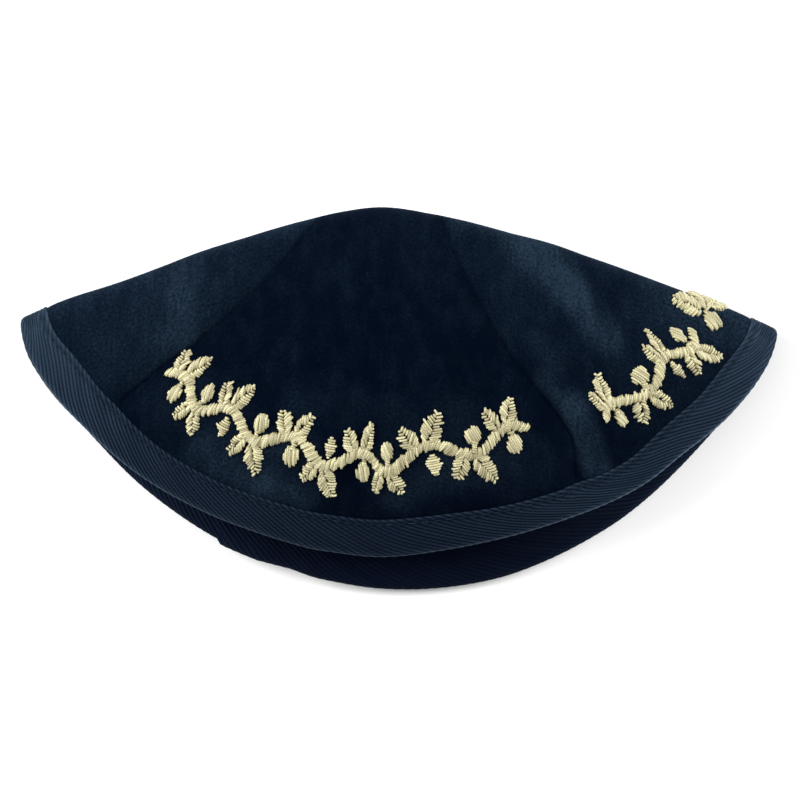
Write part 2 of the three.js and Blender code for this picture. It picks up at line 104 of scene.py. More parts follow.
# Round the rim: front and back are shares of the drops, tape of its width on the upper layer
RIM = Table(
    "x front back tape",
    (-0.985, 0.06, 0.05, 1.0),
    (-0.95, 0.174, 0.15, 1.0),
    (-0.9, 0.29, 0.25, 1.0),
    (-0.8, 0.462, 0.415, 0.95),
    (-0.7, 0.61, 0.567, 0.91),
    (-0.6, 0.72, 0.686, 0.9),
    (-0.5, 0.806, 0.783, 0.91),
    (-0.42, 0.861, 0.84, 0.93),
    (-0.3, 0.93, 0.91, 0.97),
    (-0.2, 0.972, 0.96, 1.0),
    (-0.05, 1.0, 0.996, 1.0),
    (0.1, 0.972, 0.995, 0.95),
    (0.25, 0.922, 0.96, 0.83),
    (0.4, 0.85, 0.88, 0.75),
    (0.55, 0.755, 0.76, 0.73),
    (0.65, 0.665, 0.65, 0.74),
    (0.75, 0.53, 0.51, 0.83),
    (0.85, 0.395, 0.347, 0.87),
    (0.9, 0.305, 0.262, 0.89),
    (0.95, 0.193, 0.166, 0.92),
    (0.985, 0.08, 0.07, 0.96),
)
FRONT = "front"
BACK = "back"
CROWN = (0.035, -0.36, BACK)
# The seams in order round the rim: layer, x where it meets the rim, and points on its way as x and drop
SEAMS = (
    (FRONT, -0.808, ((-0.18, -0.537), (-0.34, -0.27), (-0.52, 0.02), (-0.65, 0.18))),
    (
        FRONT,
        0.492,
        ((0.1, -0.535), (0.151, -0.353), (0.224, -0.1), (0.285, 0.077), (0.38, 0.287), (0.456, 0.46)),
    ),
    (BACK, 0.68, ((0.33, -0.04), (0.5, 0.2))),
    (BACK, -0.38, ((-0.13, 0.04), (-0.25, 0.36))),
)
PANELS = ("front", "right", "back", "left")
LAP_START = -0.475
# Soft swellings and hollows: layer, from x and drop, to x and drop, width share, height share
SWELLINGS = (
    (FRONT, (-0.62, -0.02), (-0.52, -0.16), 0.2, 0.9),
    (FRONT, (-0.4, 0.5), (-0.2, 0.6), 0.14, 0.5),
    (FRONT, (0.4, -0.28), (0.56, 0.02), 0.15, 0.8),
    (FRONT, (0.36, 0.16), (0.52, 0.42), 0.09, 0.7),
    (FRONT, (0.2, -0.3), (0.34, 0.14), 0.1, -0.5),
    (FRONT, (-0.12, 0.1), (0.1, 0.12), 0.3, -0.4),
)
# Where the pile is lighter, partly lying the light way and partly painted highlight where it catches the
# light: panel, from x and drop, to x and drop, width, strength
BRUSHED_AND_HIGHLIT = (
    ("left", (-0.575, -0.22), (-0.58, 0.03), 0.05, 0.34),
    ("left", (-0.62, -0.2), (-0.62, 0.08), 0.09, 0.18),
    ("left", (-0.85, -0.08), (-0.36, -0.34), 0.26, 0.22),
    ("left", (-0.9, 0.03), (-0.7, 0.14), 0.1, 0.05),
    ("right", (0.28, -0.46), (0.44, -0.21), 0.065, 0.55),
    ("right", (0.44, -0.21), (0.54, 0.02), 0.05, 0.6),
    ("right", (0.37, 0.04), (0.4, 0.15), 0.035, 0.25),
    ("right", (0.38, 0.22), (0.46, 0.34), 0.028, 0.35),
    ("right", (0.465, 0.35), (0.52, 0.6), 0.045, 0.7),
    ("right", (0.3, -0.3), (0.75, 0.05), 0.25, 0.16),
    ("right", (0.76, -0.15), (0.93, -0.02), 0.1, 0.45),
    ("front", (-0.52, 0.54), (-0.38, 0.66), 0.06, 0.42),
    ("front", (-0.36, 0.68), (-0.25, 0.74), 0.045, 0.45),
    ("front", (-0.33, 0.5), (-0.25, 0.53), 0.045, 0.4),
    ("front", (-0.6, 0.3), (-0.46, 0.4), 0.09, 0.16),
    ("front", (-0.06, 0.6), (0.0, 0.74), 0.05, 0.32),
    ("front", (0.06, 0.68), (0.2, 0.6), 0.05, 0.28),
    ("front", (-0.26, 0.3), (-0.06, 0.36), 0.06, 0.1),
    ("front", (0.04, 0.48), (0.28, 0.56), 0.11, 0.16),
    ("front", (-0.2, -0.45), (0.1, -0.3), 0.2, 0.03),
)
# How much lighter the pile is drawn along the fold itself, for each panel: painted sheen where the pile
# rolls over the fold, and partly wear
FOLD_SHEEN_AND_WEAR = {"left": 0.5, "front": 0.08, "right": 0.42, "back": 0.3}
# Painted light and shade on the tape along the cap, on its outer and its inner leg: lighter at the tips,
# which face the side lights, darker in the middle, which faces down, and darkest on the inner leg, in
# the upper layer's shadow
PAINTED_LIGHT = Table(
    "x outer inner",
    (-1.0, 1.0, 0.3),
    (-0.93, 0.8, 0.3),
    (-0.85, 0.62, 0.28),
    (-0.65, 0.42, 0.26),
    (-0.35, 0.34, 0.15),
    (0.0, 0.31, 0.12),
    (0.3, 0.4, 0.14),
    (0.55, 0.52, 0.22),
    (0.8, 0.58, 0.28),
    (0.93, 0.75, 0.3),
    (1.0, 1.0, 0.3),
)


# What a user would change


def length(label, about, default):
    return bpy.props.FloatProperty(
        name=label, description=about, default=default * MM, unit="LENGTH", min=0, precision=4
    )


def angle(label, about, degrees):
    return bpy.props.FloatProperty(
        name=label, description=about, default=math.radians(degrees), subtype="ANGLE", unit="ROTATION"
    )


def position(label, about, default):
    return bpy.props.FloatProperty(
        name=label, description=about, default=default * MM, unit="LENGTH", precision=4
    )


def strength(label, about, default):
    return bpy.props.FloatProperty(name=label, description=about, default=default, min=0)


def share(label, about, default):
    return bpy.props.FloatProperty(
        name=label, description=about, default=default, subtype="FACTOR", min=0, max=1
    )


def colour(label, about, default):
    return bpy.props.FloatVectorProperty(
        name=label, description=about, default=default, subtype="COLOR", min=0, max=1, size=3
    )


class SkullcapCloth(bpy.types.PropertyGroup):
    """Sizes of the folded cap, as in its frame"""

    half_length: length("Half length", "Middle of the fold to the cloth's edge at a tip", 93.2)
    ridge_rise: length("Ridge rise", "Tips to the highest point of the fold, seen from above", 30.4)
    front_drop: length("Front drop", "Tips to the lowest point of the upper layer's edge", 53.8)
    back_drop: length("Back drop", "Tips to the lowest point of the lower layer's edge", 62.4)
    fold_radius: length("Fold radius", "Bend of the cloth at the middle of the fold", 7.0)
    climb_angle: angle("Climb angle", "Rise of the upper layer where it leaves the fold", 31.0)
    bow_radius: length("Bow radius", "Arch of the upper layer from the fold to its edge", 74.0)
    pile_face: length("Pile face", "Velvet face above the middle of the cloth", 1.5)
    cloth_back: length("Cloth back", "Plain back below the middle of the cloth", 0.7)
    pressed_half: length("Pressed half", "Half of the cloth's thickness under the tape", 0.5)
    seam_dip: length("Seam dip", "Depth of the soft groove along a seam", 0.8)
    seam_dip_width: length("Seam dip width", "Reach of that groove to each side", 6.0)
    seam_roll: length("Seam roll", "Depth to which the pile rolls into a seam", 0.4)
    seam_roll_width: length("Seam roll width", "Width over which it rolls in", 0.75)
    seam_pucker: length("Seam pucker", "Depth of the small puckers between seam stitches", 0.2)
    fold_depth: length("Fold depth", "Height of the tallest soft swelling", 1.4)
    lap_rise: length("Lap rise", "Extra thickness where the tape's end laps over its start", 1.0)
    lap_length: length("Lap length", "Length of that lap", 12.0)


class SkullcapTape(bpy.types.PropertyGroup):
    """Sizes of the folded twill tape round the rim"""

    width: length("Width", "Each leg of the folded tape", 9.4)
    thickness: length("Thickness", "Thickness of the tape", 1.0)
    clearance: length("Clearance", "Gap to the cloth that it grips", 0.3)
    rib_pitch: length("Rib pitch", "From one twill rib to the next, along the tape", 2.5)
    rib_slant: angle("Rib slant", "Angle between the ribs and the tape", 24.5)
    rib_depth: length("Rib depth", "Depth of the valley between two ribs", 0.2)
    stitch_length: length("Stitch length", "One stitch of the topstitched line", 3.2)
    stitch_inset: length("Stitch inset", "Topstitched line to the tape's inner edge", 1.35)
    stitch_groove: length("Stitch groove", "How deep the stitches pull the tape in", 0.3)
    thread_radius: length("Thread radius", "Radius of the topstitching thread", 0.17)


class SkullcapOrnament(bpy.types.PropertyGroup):
    """Sizes of the satin-stitched vine"""

    front_middle: length("Middle of the front run", "From the rim, along the cloth", 24.6)
    right_middle: length("Middle of the right run", "From the rim, along the cloth", 19.4)
    sprig_place: length("Place of the sprig", "From the cap's middle, along the fold", 76.4)
    sprig_turn: angle("Turn of the sprig", "Its own slant on the cloth", 38.0)
    wave_height: length("Wave height", "How far the stem swings to each side", 2.3)
    wave_length: length("Wave length", "One full swing of the stem", 24.0)
    stem_width: length("Stem width", "Width of the stem's satin stitch", 2.5)
    leaf_length: length("Leaf length", "Length of a full leaf", 10.8)
    leaf_width: length("Leaf width", "Width of a full leaf", 5.3)
    berry_width: length("Berry width", "Width of a round berry", 4.7)
    thread_radius: length("Thread radius", "Radius of one laid thread", 0.31)
    thread_pitch: length("Thread pitch", "From one laid thread to the next", 0.6)
    padding: length("Padding", "Height of the stitches over their padding", 0.75)


class SkullcapFinish(bpy.types.PropertyGroup):
    """Colours of the cloth, tape and threads, and of the light and shade painted on them"""

    velvet: colour("Velvet", "Pile lying the dark way", (0.0006, 0.0024, 0.008))
    # The lighter pile: pile lying the light way, and the painted highlights and sheen on the pile
    brushed: colour("Brushed velvet", "Pile lying the light way", (0.013, 0.0255, 0.043))
    velvet_back: colour("Velvet back", "Plain back of the velvet", (0.008, 0.011, 0.02))
    tape_rib: colour("Tape rib", "Top of a twill rib", (0.034, 0.0575, 0.088))
    # Painted shade in the valleys between ribs
    tape_valley: colour("Tape valley", "Valley between two ribs", (0.0025, 0.006, 0.014))
    # Painted shade: the tape's colour where no light is painted on it
    tape_deep: colour("Deep tape", "The tape where it isn't faded at all", (0.0, 0.0006, 0.007))
    # The colour of the painted highlight on the tape's fold
    tape_rubbed: colour("Rubbed tape", "The tape where its fold is rubbed bare", (0.09, 0.123, 0.17))
    topstitch: colour("Topstitch", "Thread of the topstitched line", (0.012, 0.022, 0.038))
    gold: colour("Gold thread", "Pale gold embroidery thread", (0.62, 0.58, 0.345))
    # A shaded copy of the gold: painted shade in the grooves between plies, and darker threads at random
    gold_shade: colour("Gold thread, shaded", "The same thread where it is duller", (0.23, 0.2, 0.105))
    specks: share("Specks", "How light the tiny specks of dust on the pile are", 0.35)


class SkullcapStudio(bpy.types.PropertyGroup):
    """Camera, light and floor"""

    camera_height: length("Camera height", "Camera above the floor", 1000.0)
    aim_x: position("Aim X", "Where the camera looks, along the fold", 0.25)
    aim_y: position("Aim Y", "Where the camera looks, across the fold", -0.13)
    view_width: length("View width", "Width of the picture at the cap", 201.06)
    floor_size: length("Floor size", "Side of the floor", 3000.0)
    sky: strength("Sky", "Strength of the light from all round", 0.55)
    key: strength("Key light", "Watts of the large light at the upper left", 22.0)
    fill: strength("Fill light", "Watts of the light at the right", 17.0)


# Curves and distances


def smooth_curve(points, closed, samples):
    """A dense line through the points, easing with the distances between them."""
    points = np.array(points, float)
    if closed:
        padded = np.concatenate([points[-1:], points, points[:2]])
    else:
        padded = np.concatenate([2 * points[:1] - points[1:2], points, 2 * points[-1:] - points[-2:-1]])
    t = np.linspace(0, 1, samples, endpoint=False)[:, None]
    parts = []
    for p0, p1, p2, p3 in zip(padded[:-3], padded[1:-2], padded[2:-1], padded[3:]):
        spans = (p1 - p0, p2 - p1, p3 - p2)
        d0, d1, d2 = (max(np.linalg.norm(span) ** 0.5, HAIR) for span in spans)
        start = ((p1 - p0) / d0 - (p2 - p0) / (d0 + d1) + (p2 - p1) / d1) * d1
        end = ((p2 - p1) / d1 - (p3 - p1) / (d1 + d2) + (p3 - p2) / d2) * d1
        square = -3 * p1 + 3 * p2 - 2 * start - end
        cube = 2 * p1 - 2 * p2 + start + end
        parts.append(p1 + start * t + square * t**2 + cube * t**3)
    parts.append(points[:1] if closed else points[-1:])
    return np.concatenate(parts)


def lengths_along(line):
    """The length reached at each point of a dense line."""
    steps = np.linalg.norm(np.diff(line, axis=0), axis=1)
    return np.concatenate([[0], np.cumsum(steps)])


def along_line(line, wanted):
    """Points of a dense line at the wanted lengths."""
    reached = lengths_along(line)
    return np.stack([np.interp(wanted, reached, line[:, k]) for k in range(line.shape[1])], axis=-1)


def distances_to(points, starts, ends):
    """Distance of each point to each piece of line, and how far along the piece it is closest."""
    run = ends - starts
    square = np.maximum((run**2).sum(1), HAIR)
    away = points[:, None, :] - starts
    part = np.clip((away * run).sum(2) / square, 0, 1)
    return np.linalg.norm(away - part[..., None] * run, axis=2), part


def fade(distance, width):
    """From 1 at no distance, smoothly to 0 at the width."""
    return np.where(distance < width, (1 - np.minimum(distance / width, 1) ** 2) ** 2, 0)


def ease(t):
    """A soft step from 0 to 1."""
    t = np.clip(t, 0, 1)
    return t * t * (3 - 2 * t)


def unit(vectors):
    return vectors / np.maximum(np.linalg.norm(vectors, axis=-1, keepdims=True), HAIR)


# The cloth


class Cloth:
    """The cap's cloth: flat, with x along the fold and s square to it, then bent into the folded cap."""

    LATTICE_STEP = 0.8 * MM
    LATTICE_DEPTH = 40
    PROBE = 0.05 * MM
    TANGENT_PROBE = 0.5 * MM
    CHUNK = 30000
    EVENING = 0.7
    EVENING_MOST = 4 * MM
    TIP_NARROWING = 0.42
    TIP_REACH = 13 * MM
    LAP_STEP = 0.4 * MM
    LAP_EASE = 10 * MM
    LAP_LIFT_WIDTH = 40 * MM
    LAP_LIFT_SHARE = 1.15
    PILE_SHOULDER = 2 * MM
    SEAM_SPACING = 5 * MM
    RIM_SAMPLES = 120
    SEAM_SAMPLES = 40
    JUST_SHORT = 1e-6

    def __init__(self, cloth, tape):
        for name in SkullcapCloth.__annotations__:
            setattr(self, name, getattr(cloth, name))
        self.tape_width = tape.width
        self.clearance = tape.clearance
        self.tape_inner = self.pressed_half + tape.clearance
        self.tape_outer = self.tape_inner + tape.thickness
        self.tip_y = (self.back_drop + self.tape_outer - self.ridge_rise - self.pile_face) / 2
        lowest = self.tip_y - self.back_drop - self.tape_outer
        self.shift = np.array([(FRAME_LOW.x + FRAME_HIGH.x) / 2, FRAME_LOW.y - lowest, FRAME_LOW.z])
        self.lines = [
            (
                self.on_cloth(*start, layer),
                self.on_cloth(*end, layer),
                width * self.half_length,
                height * self.fold_depth,
            )
            for layer, start, end, width, height in SWELLINGS
        ]
        self.seam_pieces = None
        self.make_rim()
        self.make_seams()

    def section_at(self, x):
        """The fold's radius, its turn, the arch's radius and the fold's centre across one place."""
        part = x / self.half_length
        radius = self.fold_radius * SECTIONS.at("fold", part)
        turn = HALF_TURN - self.climb_angle * SECTIONS.at("climb", part)
        arch = self.bow_radius * SECTIONS.at("bow", part)
        return radius, turn, arch, self.tip_y + self.ridge_rise * SECTIONS.at("ridge", part) - radius

    def on_cloth(self, x_share, drop, layer):
        """Where a point seen from above lies on the flat cloth."""
        x = x_share * self.half_length
        radius, turn, arch, centre_y = self.section_at(x)
        y = self.tip_y - drop * (self.front_drop if layer == FRONT else self.back_drop)
        in_fold = math.asin(float(np.clip((y - centre_y) / radius, -1, 1)))
        if layer == BACK and y > centre_y:
            s = (QUARTER_TURN - in_fold) * radius
        elif layer == BACK:
            s = QUARTER_TURN * radius + centre_y - y
        elif y > centre_y + radius * math.sin(turn):
            s = (in_fold - QUARTER_TURN) * radius
        else:
            sine = (y - centre_y + (arch - radius) * math.sin(turn)) / arch
            facing = HALF_TURN - math.asin(float(np.clip(sine, -1, 1)))
            s = -(turn - QUARTER_TURN) * radius - (facing - turn) * arch
        return np.array([x, s], float)

    def relief(self, flat):
        """How far the swellings lift the cloth and the seams pull it down."""
        starts, ends, widths, heights = (np.array(column) for column in zip(*self.lines))
        total = (fade(distances_to(flat, starts, ends)[0], widths) * heights).sum(1)
        if self.seam_pieces is not None:
            nearest = distances_to(flat, self.seam_pieces[0], self.seam_pieces[1])[0].min(1)
            total = total - self.seam_dip * fade(nearest, self.seam_dip_width)
        return total

    def surface(self, flat):
        """The middle of the cloth in space."""
        shape = flat.shape[:-1]
        flat = flat.reshape(-1, 2)
        x, s = flat[:, 0], flat[:, 1]
        radius, turn, arch, centre_y = self.section_at(x)
        turned = QUARTER_TURN - s / radius
        bent = np.clip(turned, 0, turn)
        facing = bent + np.where(turned > turn, (turned - turn) * radius / arch, 0)
        y = centre_y + radius * (np.minimum(turned, 0) + np.sin(bent))
        y = y + arch * (np.sin(facing) - np.sin(bent))
        z = self.tape_outer + radius * (1 - np.cos(bent)) + arch * (np.cos(bent) - np.cos(facing))
        pieces = [self.relief(flat[i:i + self.CHUNK]) for i in range(0, len(flat), self.CHUNK)]
        relief = np.concatenate(pieces)
        points = np.stack([x, y + relief * np.sin(facing), z - relief * np.cos(facing)], axis=-1)
        return points.reshape(*shape, 3)

    def frame_at(self, flat):
        """The cloth's middle, its two slopes and its outward normal."""
        here = self.surface(flat)
        along_x = (self.surface(flat + [self.PROBE, 0]) - here) / self.PROBE
        along_s = (self.surface(flat + [0, self.PROBE]) - here) / self.PROBE
        return here, along_x, along_s, unit(np.cross(along_x, along_s))

    def raised(self, flat, offset):
        here, _, _, normal = self.frame_at(flat)
        return here + normal * np.asarray(offset)[..., None]

    def make_rim(self):
        """The cloth's edge as a closed flat line, the lattice walked inward from it and the lap."""
        columns = RIM.columns
        front = [self.on_cloth(*point, FRONT) for point in zip(columns["x"], columns["front"])]
        back = [self.on_cloth(*point, BACK) for point in zip(columns["x"], columns["back"])]
        tips = [np.array([-self.half_length, 0]), np.array([self.half_length, 0])]
        self.loop = smooth_curve([tips[0], *front, tips[1], *back[::-1]], True, self.RIM_SAMPLES)
        self.loop_reached = lengths_along(self.loop)
        self.loop_length = self.loop_reached[-1]
        self.stations = round(self.loop_length / self.LATTICE_STEP)
        lengths = np.arange(self.stations) * self.loop_length / self.stations
        self.lattice = self.evened(self.walk(lengths))
        self.lap_begin = self.length_at(LAP_START, BACK)
        lap_end = self.lap_begin - self.lap_length - self.LAP_EASE
        ends = self.flat_at(np.array([self.lap_begin, lap_end]), np.full(2, self.tape_width / 2))
        self.lines.append((ends[0], ends[1], self.LAP_LIFT_WIDTH, -self.lap_rise * self.LAP_LIFT_SHARE))

    def loop_point(self, lengths):
        wrapped = np.mod(lengths, self.loop_length)
        columns = [np.interp(wrapped, self.loop_reached, self.loop[:, k]) for k in (0, 1)]
        return np.stack(columns, axis=-1)

    def length_at(self, x_share, layer):
        """The length round the rim at a place along the fold, on one layer."""
        side = -1 if layer == FRONT else 1
        miss = np.abs(self.loop[:, 0] - x_share * self.half_length)
        miss[self.loop[:, 1] * side <= 0] = np.inf
        return self.loop_reached[int(np.argmin(miss))]

    def rim_frame(self, lengths):
        """The rim's edge in space, the cloth's normal there and the way inward."""
        ahead = self.surface(self.loop_point(lengths + self.TANGENT_PROBE))
        behind = self.surface(self.loop_point(lengths - self.TANGENT_PROBE))
        edge, _, _, normal = self.frame_at(self.loop_point(lengths))
        return edge, normal, unit(np.cross(normal, ahead - behind))

    def walk(self, lengths):
        """Flat points reached from the rim by walking inward, square to it and straight on."""
        at = self.loop_point(lengths)
        direction = self.rim_frame(lengths)[2]
        rows = [at]
        for _ in range(self.LATTICE_DEPTH):
            _, along_x, along_s, normal = self.frame_at(at)
            direction = unit(direction - normal * (direction * normal).sum(1, keepdims=True))
            pairs = ((along_x, along_x), (along_x, along_s), (along_s, along_s))
            xx, xs, ss = ((a * b).sum(1) for a, b in pairs)
            dx, ds = ((direction * a).sum(1) for a in (along_x, along_s))
            scale = MM / (xx * ss - xs * xs)
            at = at + np.stack([scale * (ss * dx - xs * ds), scale * (xx * ds - xs * dx)], axis=-1)
            rows.append(at)
        return np.array(rows)

    def evened(self, rows):
        """The walked rows smoothed along the rim, more so further in, so that lines don't bunch."""
        waves = np.fft.fftfreq(self.stations)
        reach = np.minimum(self.EVENING * np.arange(len(rows)) * MM, self.EVENING_MOST)
        reach = reach / self.LATTICE_STEP
        kept = np.exp(-2 * (math.pi * waves * reach[:, None]) ** 2)
        return np.fft.ifft(np.fft.fft(rows, axis=1) * kept[..., None], axis=1).real

    def flat_at(self, lengths, inward):
        """Flat points that lie inward of the rim, between the rows that were walked."""
        column = np.mod(lengths, self.loop_length) / self.loop_length * self.stations
        row = np.clip(inward / MM, 0, self.LATTICE_DEPTH - self.JUST_SHORT)
        i = np.floor(column).astype(int)
        j = np.floor(row).astype(int)
        a = (column - i)[..., None]
        b = (row - j)[..., None]
        i, k = i % self.stations, (i + 1) % self.stations
        rows = self.lattice
        low = rows[j, i] * (1 - a) + rows[j, k] * a
        high = rows[j + 1, i] * (1 - a) + rows[j + 1, k] * a
        return low * (1 - b) + high * b

    def tape_width_at(self, lengths):
        """How wide the tape lies on the cloth, narrower at the tips."""
        at = self.loop_point(lengths)
        caught = np.where(at[..., 1] < 0, RIM.at("tape", at[..., 0] / self.half_length), 1)
        near_tip = np.exp(-((at[..., 1] / self.TIP_REACH) ** 2))
        return self.tape_width * caught * (1 - self.TIP_NARROWING * near_tip)

    def lap_extra(self, lengths):
        """Extra thickness at the lap: a step at the cut end, eased at the hidden one."""
        before = np.mod(self.lap_begin - lengths, self.loop_length)
        eased = np.clip((self.lap_length + self.LAP_EASE - before) / self.LAP_EASE, 0, 1)
        return self.lap_rise * eased * ease(before / self.LAP_STEP)

    def make_seams(self):
        """The seams as flat lines from the crown to the tape, and as short straight pieces."""
        crown = self.on_cloth(*CROWN)
        self.seam_lengths = [self.length_at(end, layer) for layer, end, _ in SEAMS]
        self.seam_lines = []
        for (layer, _, via), at in zip(SEAMS, self.seam_lengths):
            pressed = self.tape_width_at(at) + self.clearance
            foot = self.flat_at(np.array(at), np.array(pressed + self.PILE_SHOULDER))
            points = [crown, *(self.on_cloth(*p, layer) for p in via), foot]
            self.seam_lines.append(smooth_curve(points, False, self.SEAM_SAMPLES))
        starts, ends, reached = [], [], []
        for line in self.seam_lines:
            total = lengths_along(line)[-1]
            marks = np.linspace(0, total, round(total / self.SEAM_SPACING) + 1)
            spaced = along_line(line, marks)
            starts.append(spaced[:-1])
            ends.append(spaced[1:])
            reached.append(marks[:-1])
        self.seam_pieces = (np.concatenate(starts), np.concatenate(ends))
        self.seam_marks = np.concatenate(reached)

    def seam_nearness(self, flat):
        """Distance to the nearest seam and the length along it."""
        distance = np.empty(len(flat))
        reached = np.empty(len(flat))
        starts, ends = self.seam_pieces
        runs = np.linalg.norm(ends - starts, axis=1)
        for i in range(0, len(flat), self.CHUNK):
            found, part = distances_to(flat[i:i + self.CHUNK], starts, ends)
            nearest = found.argmin(1)
            rows = np.arange(len(nearest))
            distance[i:i + self.CHUNK] = found[rows, nearest]
            reached[i:i + self.CHUNK] = self.seam_marks[nearest] + part[rows, nearest] * runs[nearest]
        return distance, reached


shaped = {}


def shaped_cloth(scene):
    """The cloth, worked out once for each set of sizes."""
    groups = (scene.skullcap_cloth, scene.skullcap_tape)
    sizes = tuple(getattr(group, key) for group in groups for key in type(group).__annotations__)
    if sizes not in shaped:
        shaped.clear()
        shaped[sizes] = Cloth(*groups)
    return shaped[sizes]


# Meshes


def add_piece(name, points, face_sets, fields, material, replaced=()):
    """A named mesh on the frame, its first face set smooth, with fields as attributes of its points."""
    mesh = bpy.data.meshes.new(name)
    mesh.vertices.add(len(points))
    mesh.vertices.foreach_set("co", np.asarray(points, np.float32).ravel())
    corners = np.concatenate([faces.ravel() for faces in face_sets])
    counts = np.concatenate([np.full(len(faces), faces.shape[1]) for faces in face_sets])
    mesh.loops.add(len(corners))
    mesh.loops.foreach_set("vertex_index", corners.astype(np.int32))
    mesh.polygons.add(len(counts))
    starts = np.concatenate([[0], np.cumsum(counts)[:-1]])
    mesh.polygons.foreach_set("loop_start", starts.astype(np.int32))
    mesh.polygons.foreach_set("use_smooth", np.arange(len(counts)) < len(face_sets[0]))
    for field, values in fields.items():
        kind, key = ("FLOAT", "value") if values.ndim == 1 else ("FLOAT_VECTOR", "vector")
        attribute = mesh.attributes.new(field, kind, "POINT")
        attribute.data.foreach_set(key, values.astype(np.float32).ravel())
    mesh.update(calc_edges=True)
    mesh.validate()
    if not len(mesh.polygons):
        raise RuntimeError(f"{name} came out empty")
    mesh.materials.append(material)
    piece = bpy.data.objects.new(name, mesh)
    bpy.context.scene.collection.objects.link(piece)
    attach(piece, "root")
    if replaced:
        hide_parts(*replaced)


def grid_faces(rows, columns, closed_columns=False, closed_rows=False):
    """Quads of a grid whose points are numbered row by row."""
    j = np.arange(rows if closed_rows else rows - 1)
    i = np.arange(columns if closed_columns else columns - 1)
    j, i = (part.ravel() for part in np.meshgrid(j, i, indexing="ij"))
    m, k = (j + 1) % rows, (i + 1) % columns
    return np.stack([j * columns + i, j * columns + k, m * columns + k, m * columns + i], axis=1)


def wall_faces(rows, columns):
    """An outer grid, an inner grid behind it and the walls round their edges."""
    outer = grid_faces(rows, columns)
    count = rows * columns
    numbers = np.arange(count).reshape(rows, columns)
    edges = [numbers[0], numbers[:, -1], numbers[-1, ::-1], numbers[::-1, 0]]
    walls = [np.stack([e[:-1], e[:-1] + count, e[1:] + count, e[1:]], axis=1) for e in edges]
    return [np.concatenate([outer, outer[:, ::-1] + count]), np.concatenate(walls)]


def tubes(paths, ups, radii, sides):
    """Round threads with closed ends. Returns points, face sets and the turn round each thread."""
    count, steps, _ = paths.shape
    tangent = unit(np.gradient(paths, axis=1))
    side = unit(np.cross(tangent, ups))
    up = np.cross(side, tangent)
    turns = np.arange(sides) / sides
    cos, sin = np.cos(FULL_TURN * turns), np.sin(FULL_TURN * turns)
    rings = side[:, :, None] * cos[:, None] + up[:, :, None] * sin[:, None]
    points = paths[:, :, None] + rings * radii[:, :, None, None]
    one = grid_faces(steps, sides, closed_columns=True)
    block = steps * sides
    offsets = (np.arange(count) * block)[:, None, None]
    quads = (one + offsets).reshape(-1, 4)
    first = np.arange(sides)[::-1]
    last = np.arange(sides) + (steps - 1) * sides
    caps = (np.stack([first, last]) + offsets).reshape(-1, sides)
    return points.reshape(-1, 3), [quads, caps], np.tile(turns, count * steps)


# Finishes


class Finish:
    """A material built node by node."""

    def __init__(self, name, sheen_tint, **sockets):
        self.material = bpy.data.materials.new(name)
        self.material.use_nodes = True
        self.tree = self.material.node_tree
        self.shader = self.tree.nodes["Principled BSDF"]
        for socket, value in sockets.items():
            self.shader.inputs[socket.replace("_", " ")].default_value = value
        self.shader.inputs["Sheen Tint"].default_value = (*sheen_tint, 1)

    def add(self, kind, links=None, values=None, **settings):
        """A node, with sources linked to its sockets, values set on them, and its own settings."""
        node = self.tree.nodes.new("ShaderNode" + kind)
        for name, value in settings.items():
            setattr(node, name, value)
        for socket, value in (values or {}).items():
            node.inputs[socket].default_value = value
        for socket, source in (links or {}).items():
            self.tree.links.new(source, node.inputs[socket])
        return node

    def field(self, name):
        return self.add("Attribute", attribute_name=name)

    def noise(self, vector, scale, detail, roughness):
        """Soft noise from 0 to 1, with scale bumps to the metre."""
        return self.add(
            "TexNoise", {"Vector": vector}, {"Scale": scale, "Detail": detail, "Roughness": roughness}
        ).outputs["Fac"]

    def bands(self, vector, direction, values):
        """Soft bands from 0 to 1 across one direction of the vector."""
        settings = {"wave_type": "BANDS", "bands_direction": direction}
        return self.add("TexWave", {"Vector": vector}, values, **settings).outputs["Fac"]

    def stretch(self, vector, share):
        """The vector with its second part scaled by a share, which draws patterns out along it."""
        scale = {1: (1.0, share, 1.0)}
        return self.add("VectorMath", {0: vector}, scale, operation="MULTIPLY").outputs["Vector"]

    def carry(self, value, known, wanted=(0.0, 1.0)):
        """The value, carried from one span to another and held inside it."""
        values = {"From Min": known[0], "From Max": known[1], "To Min": wanted[0], "To Max": wanted[1]}
        return self.add("MapRange", {"Value": value}, values, clamp=True).outputs["Result"]

    def times(self, a, b):
        return self.add("Math", {0: a, 1: b}, operation="MULTIPLY").outputs["Value"]

    def plus(self, a, b):
        return self.add("Math", {0: a, 1: b}, operation="ADD").outputs["Value"]

    def mix(self, factor, a, b):
        """Colour a at factor 0 and colour b at factor 1."""
        node = self.add("MixRGB")
        for socket, part in (("Fac", factor), ("Color1", a), ("Color2", b)):
            if isinstance(part, float):
                node.inputs[socket].default_value = part
            elif isinstance(part, tuple):
                node.inputs[socket].default_value = (*part, 1)
            else:
                self.tree.links.new(part, node.inputs[socket])
        return node.outputs["Color"]

    def bump(self, height, distance, strength, normal=None):
        links = {"Height": height}
        if normal is not None:
            links["Normal"] = normal
        return self.add("Bump", links, {"Strength": strength, "Distance": distance}).outputs["Normal"]

    def set(self, socket, source):
        """Link a source to the shader's own socket."""
        self.tree.links.new(source, self.shader.inputs[socket])


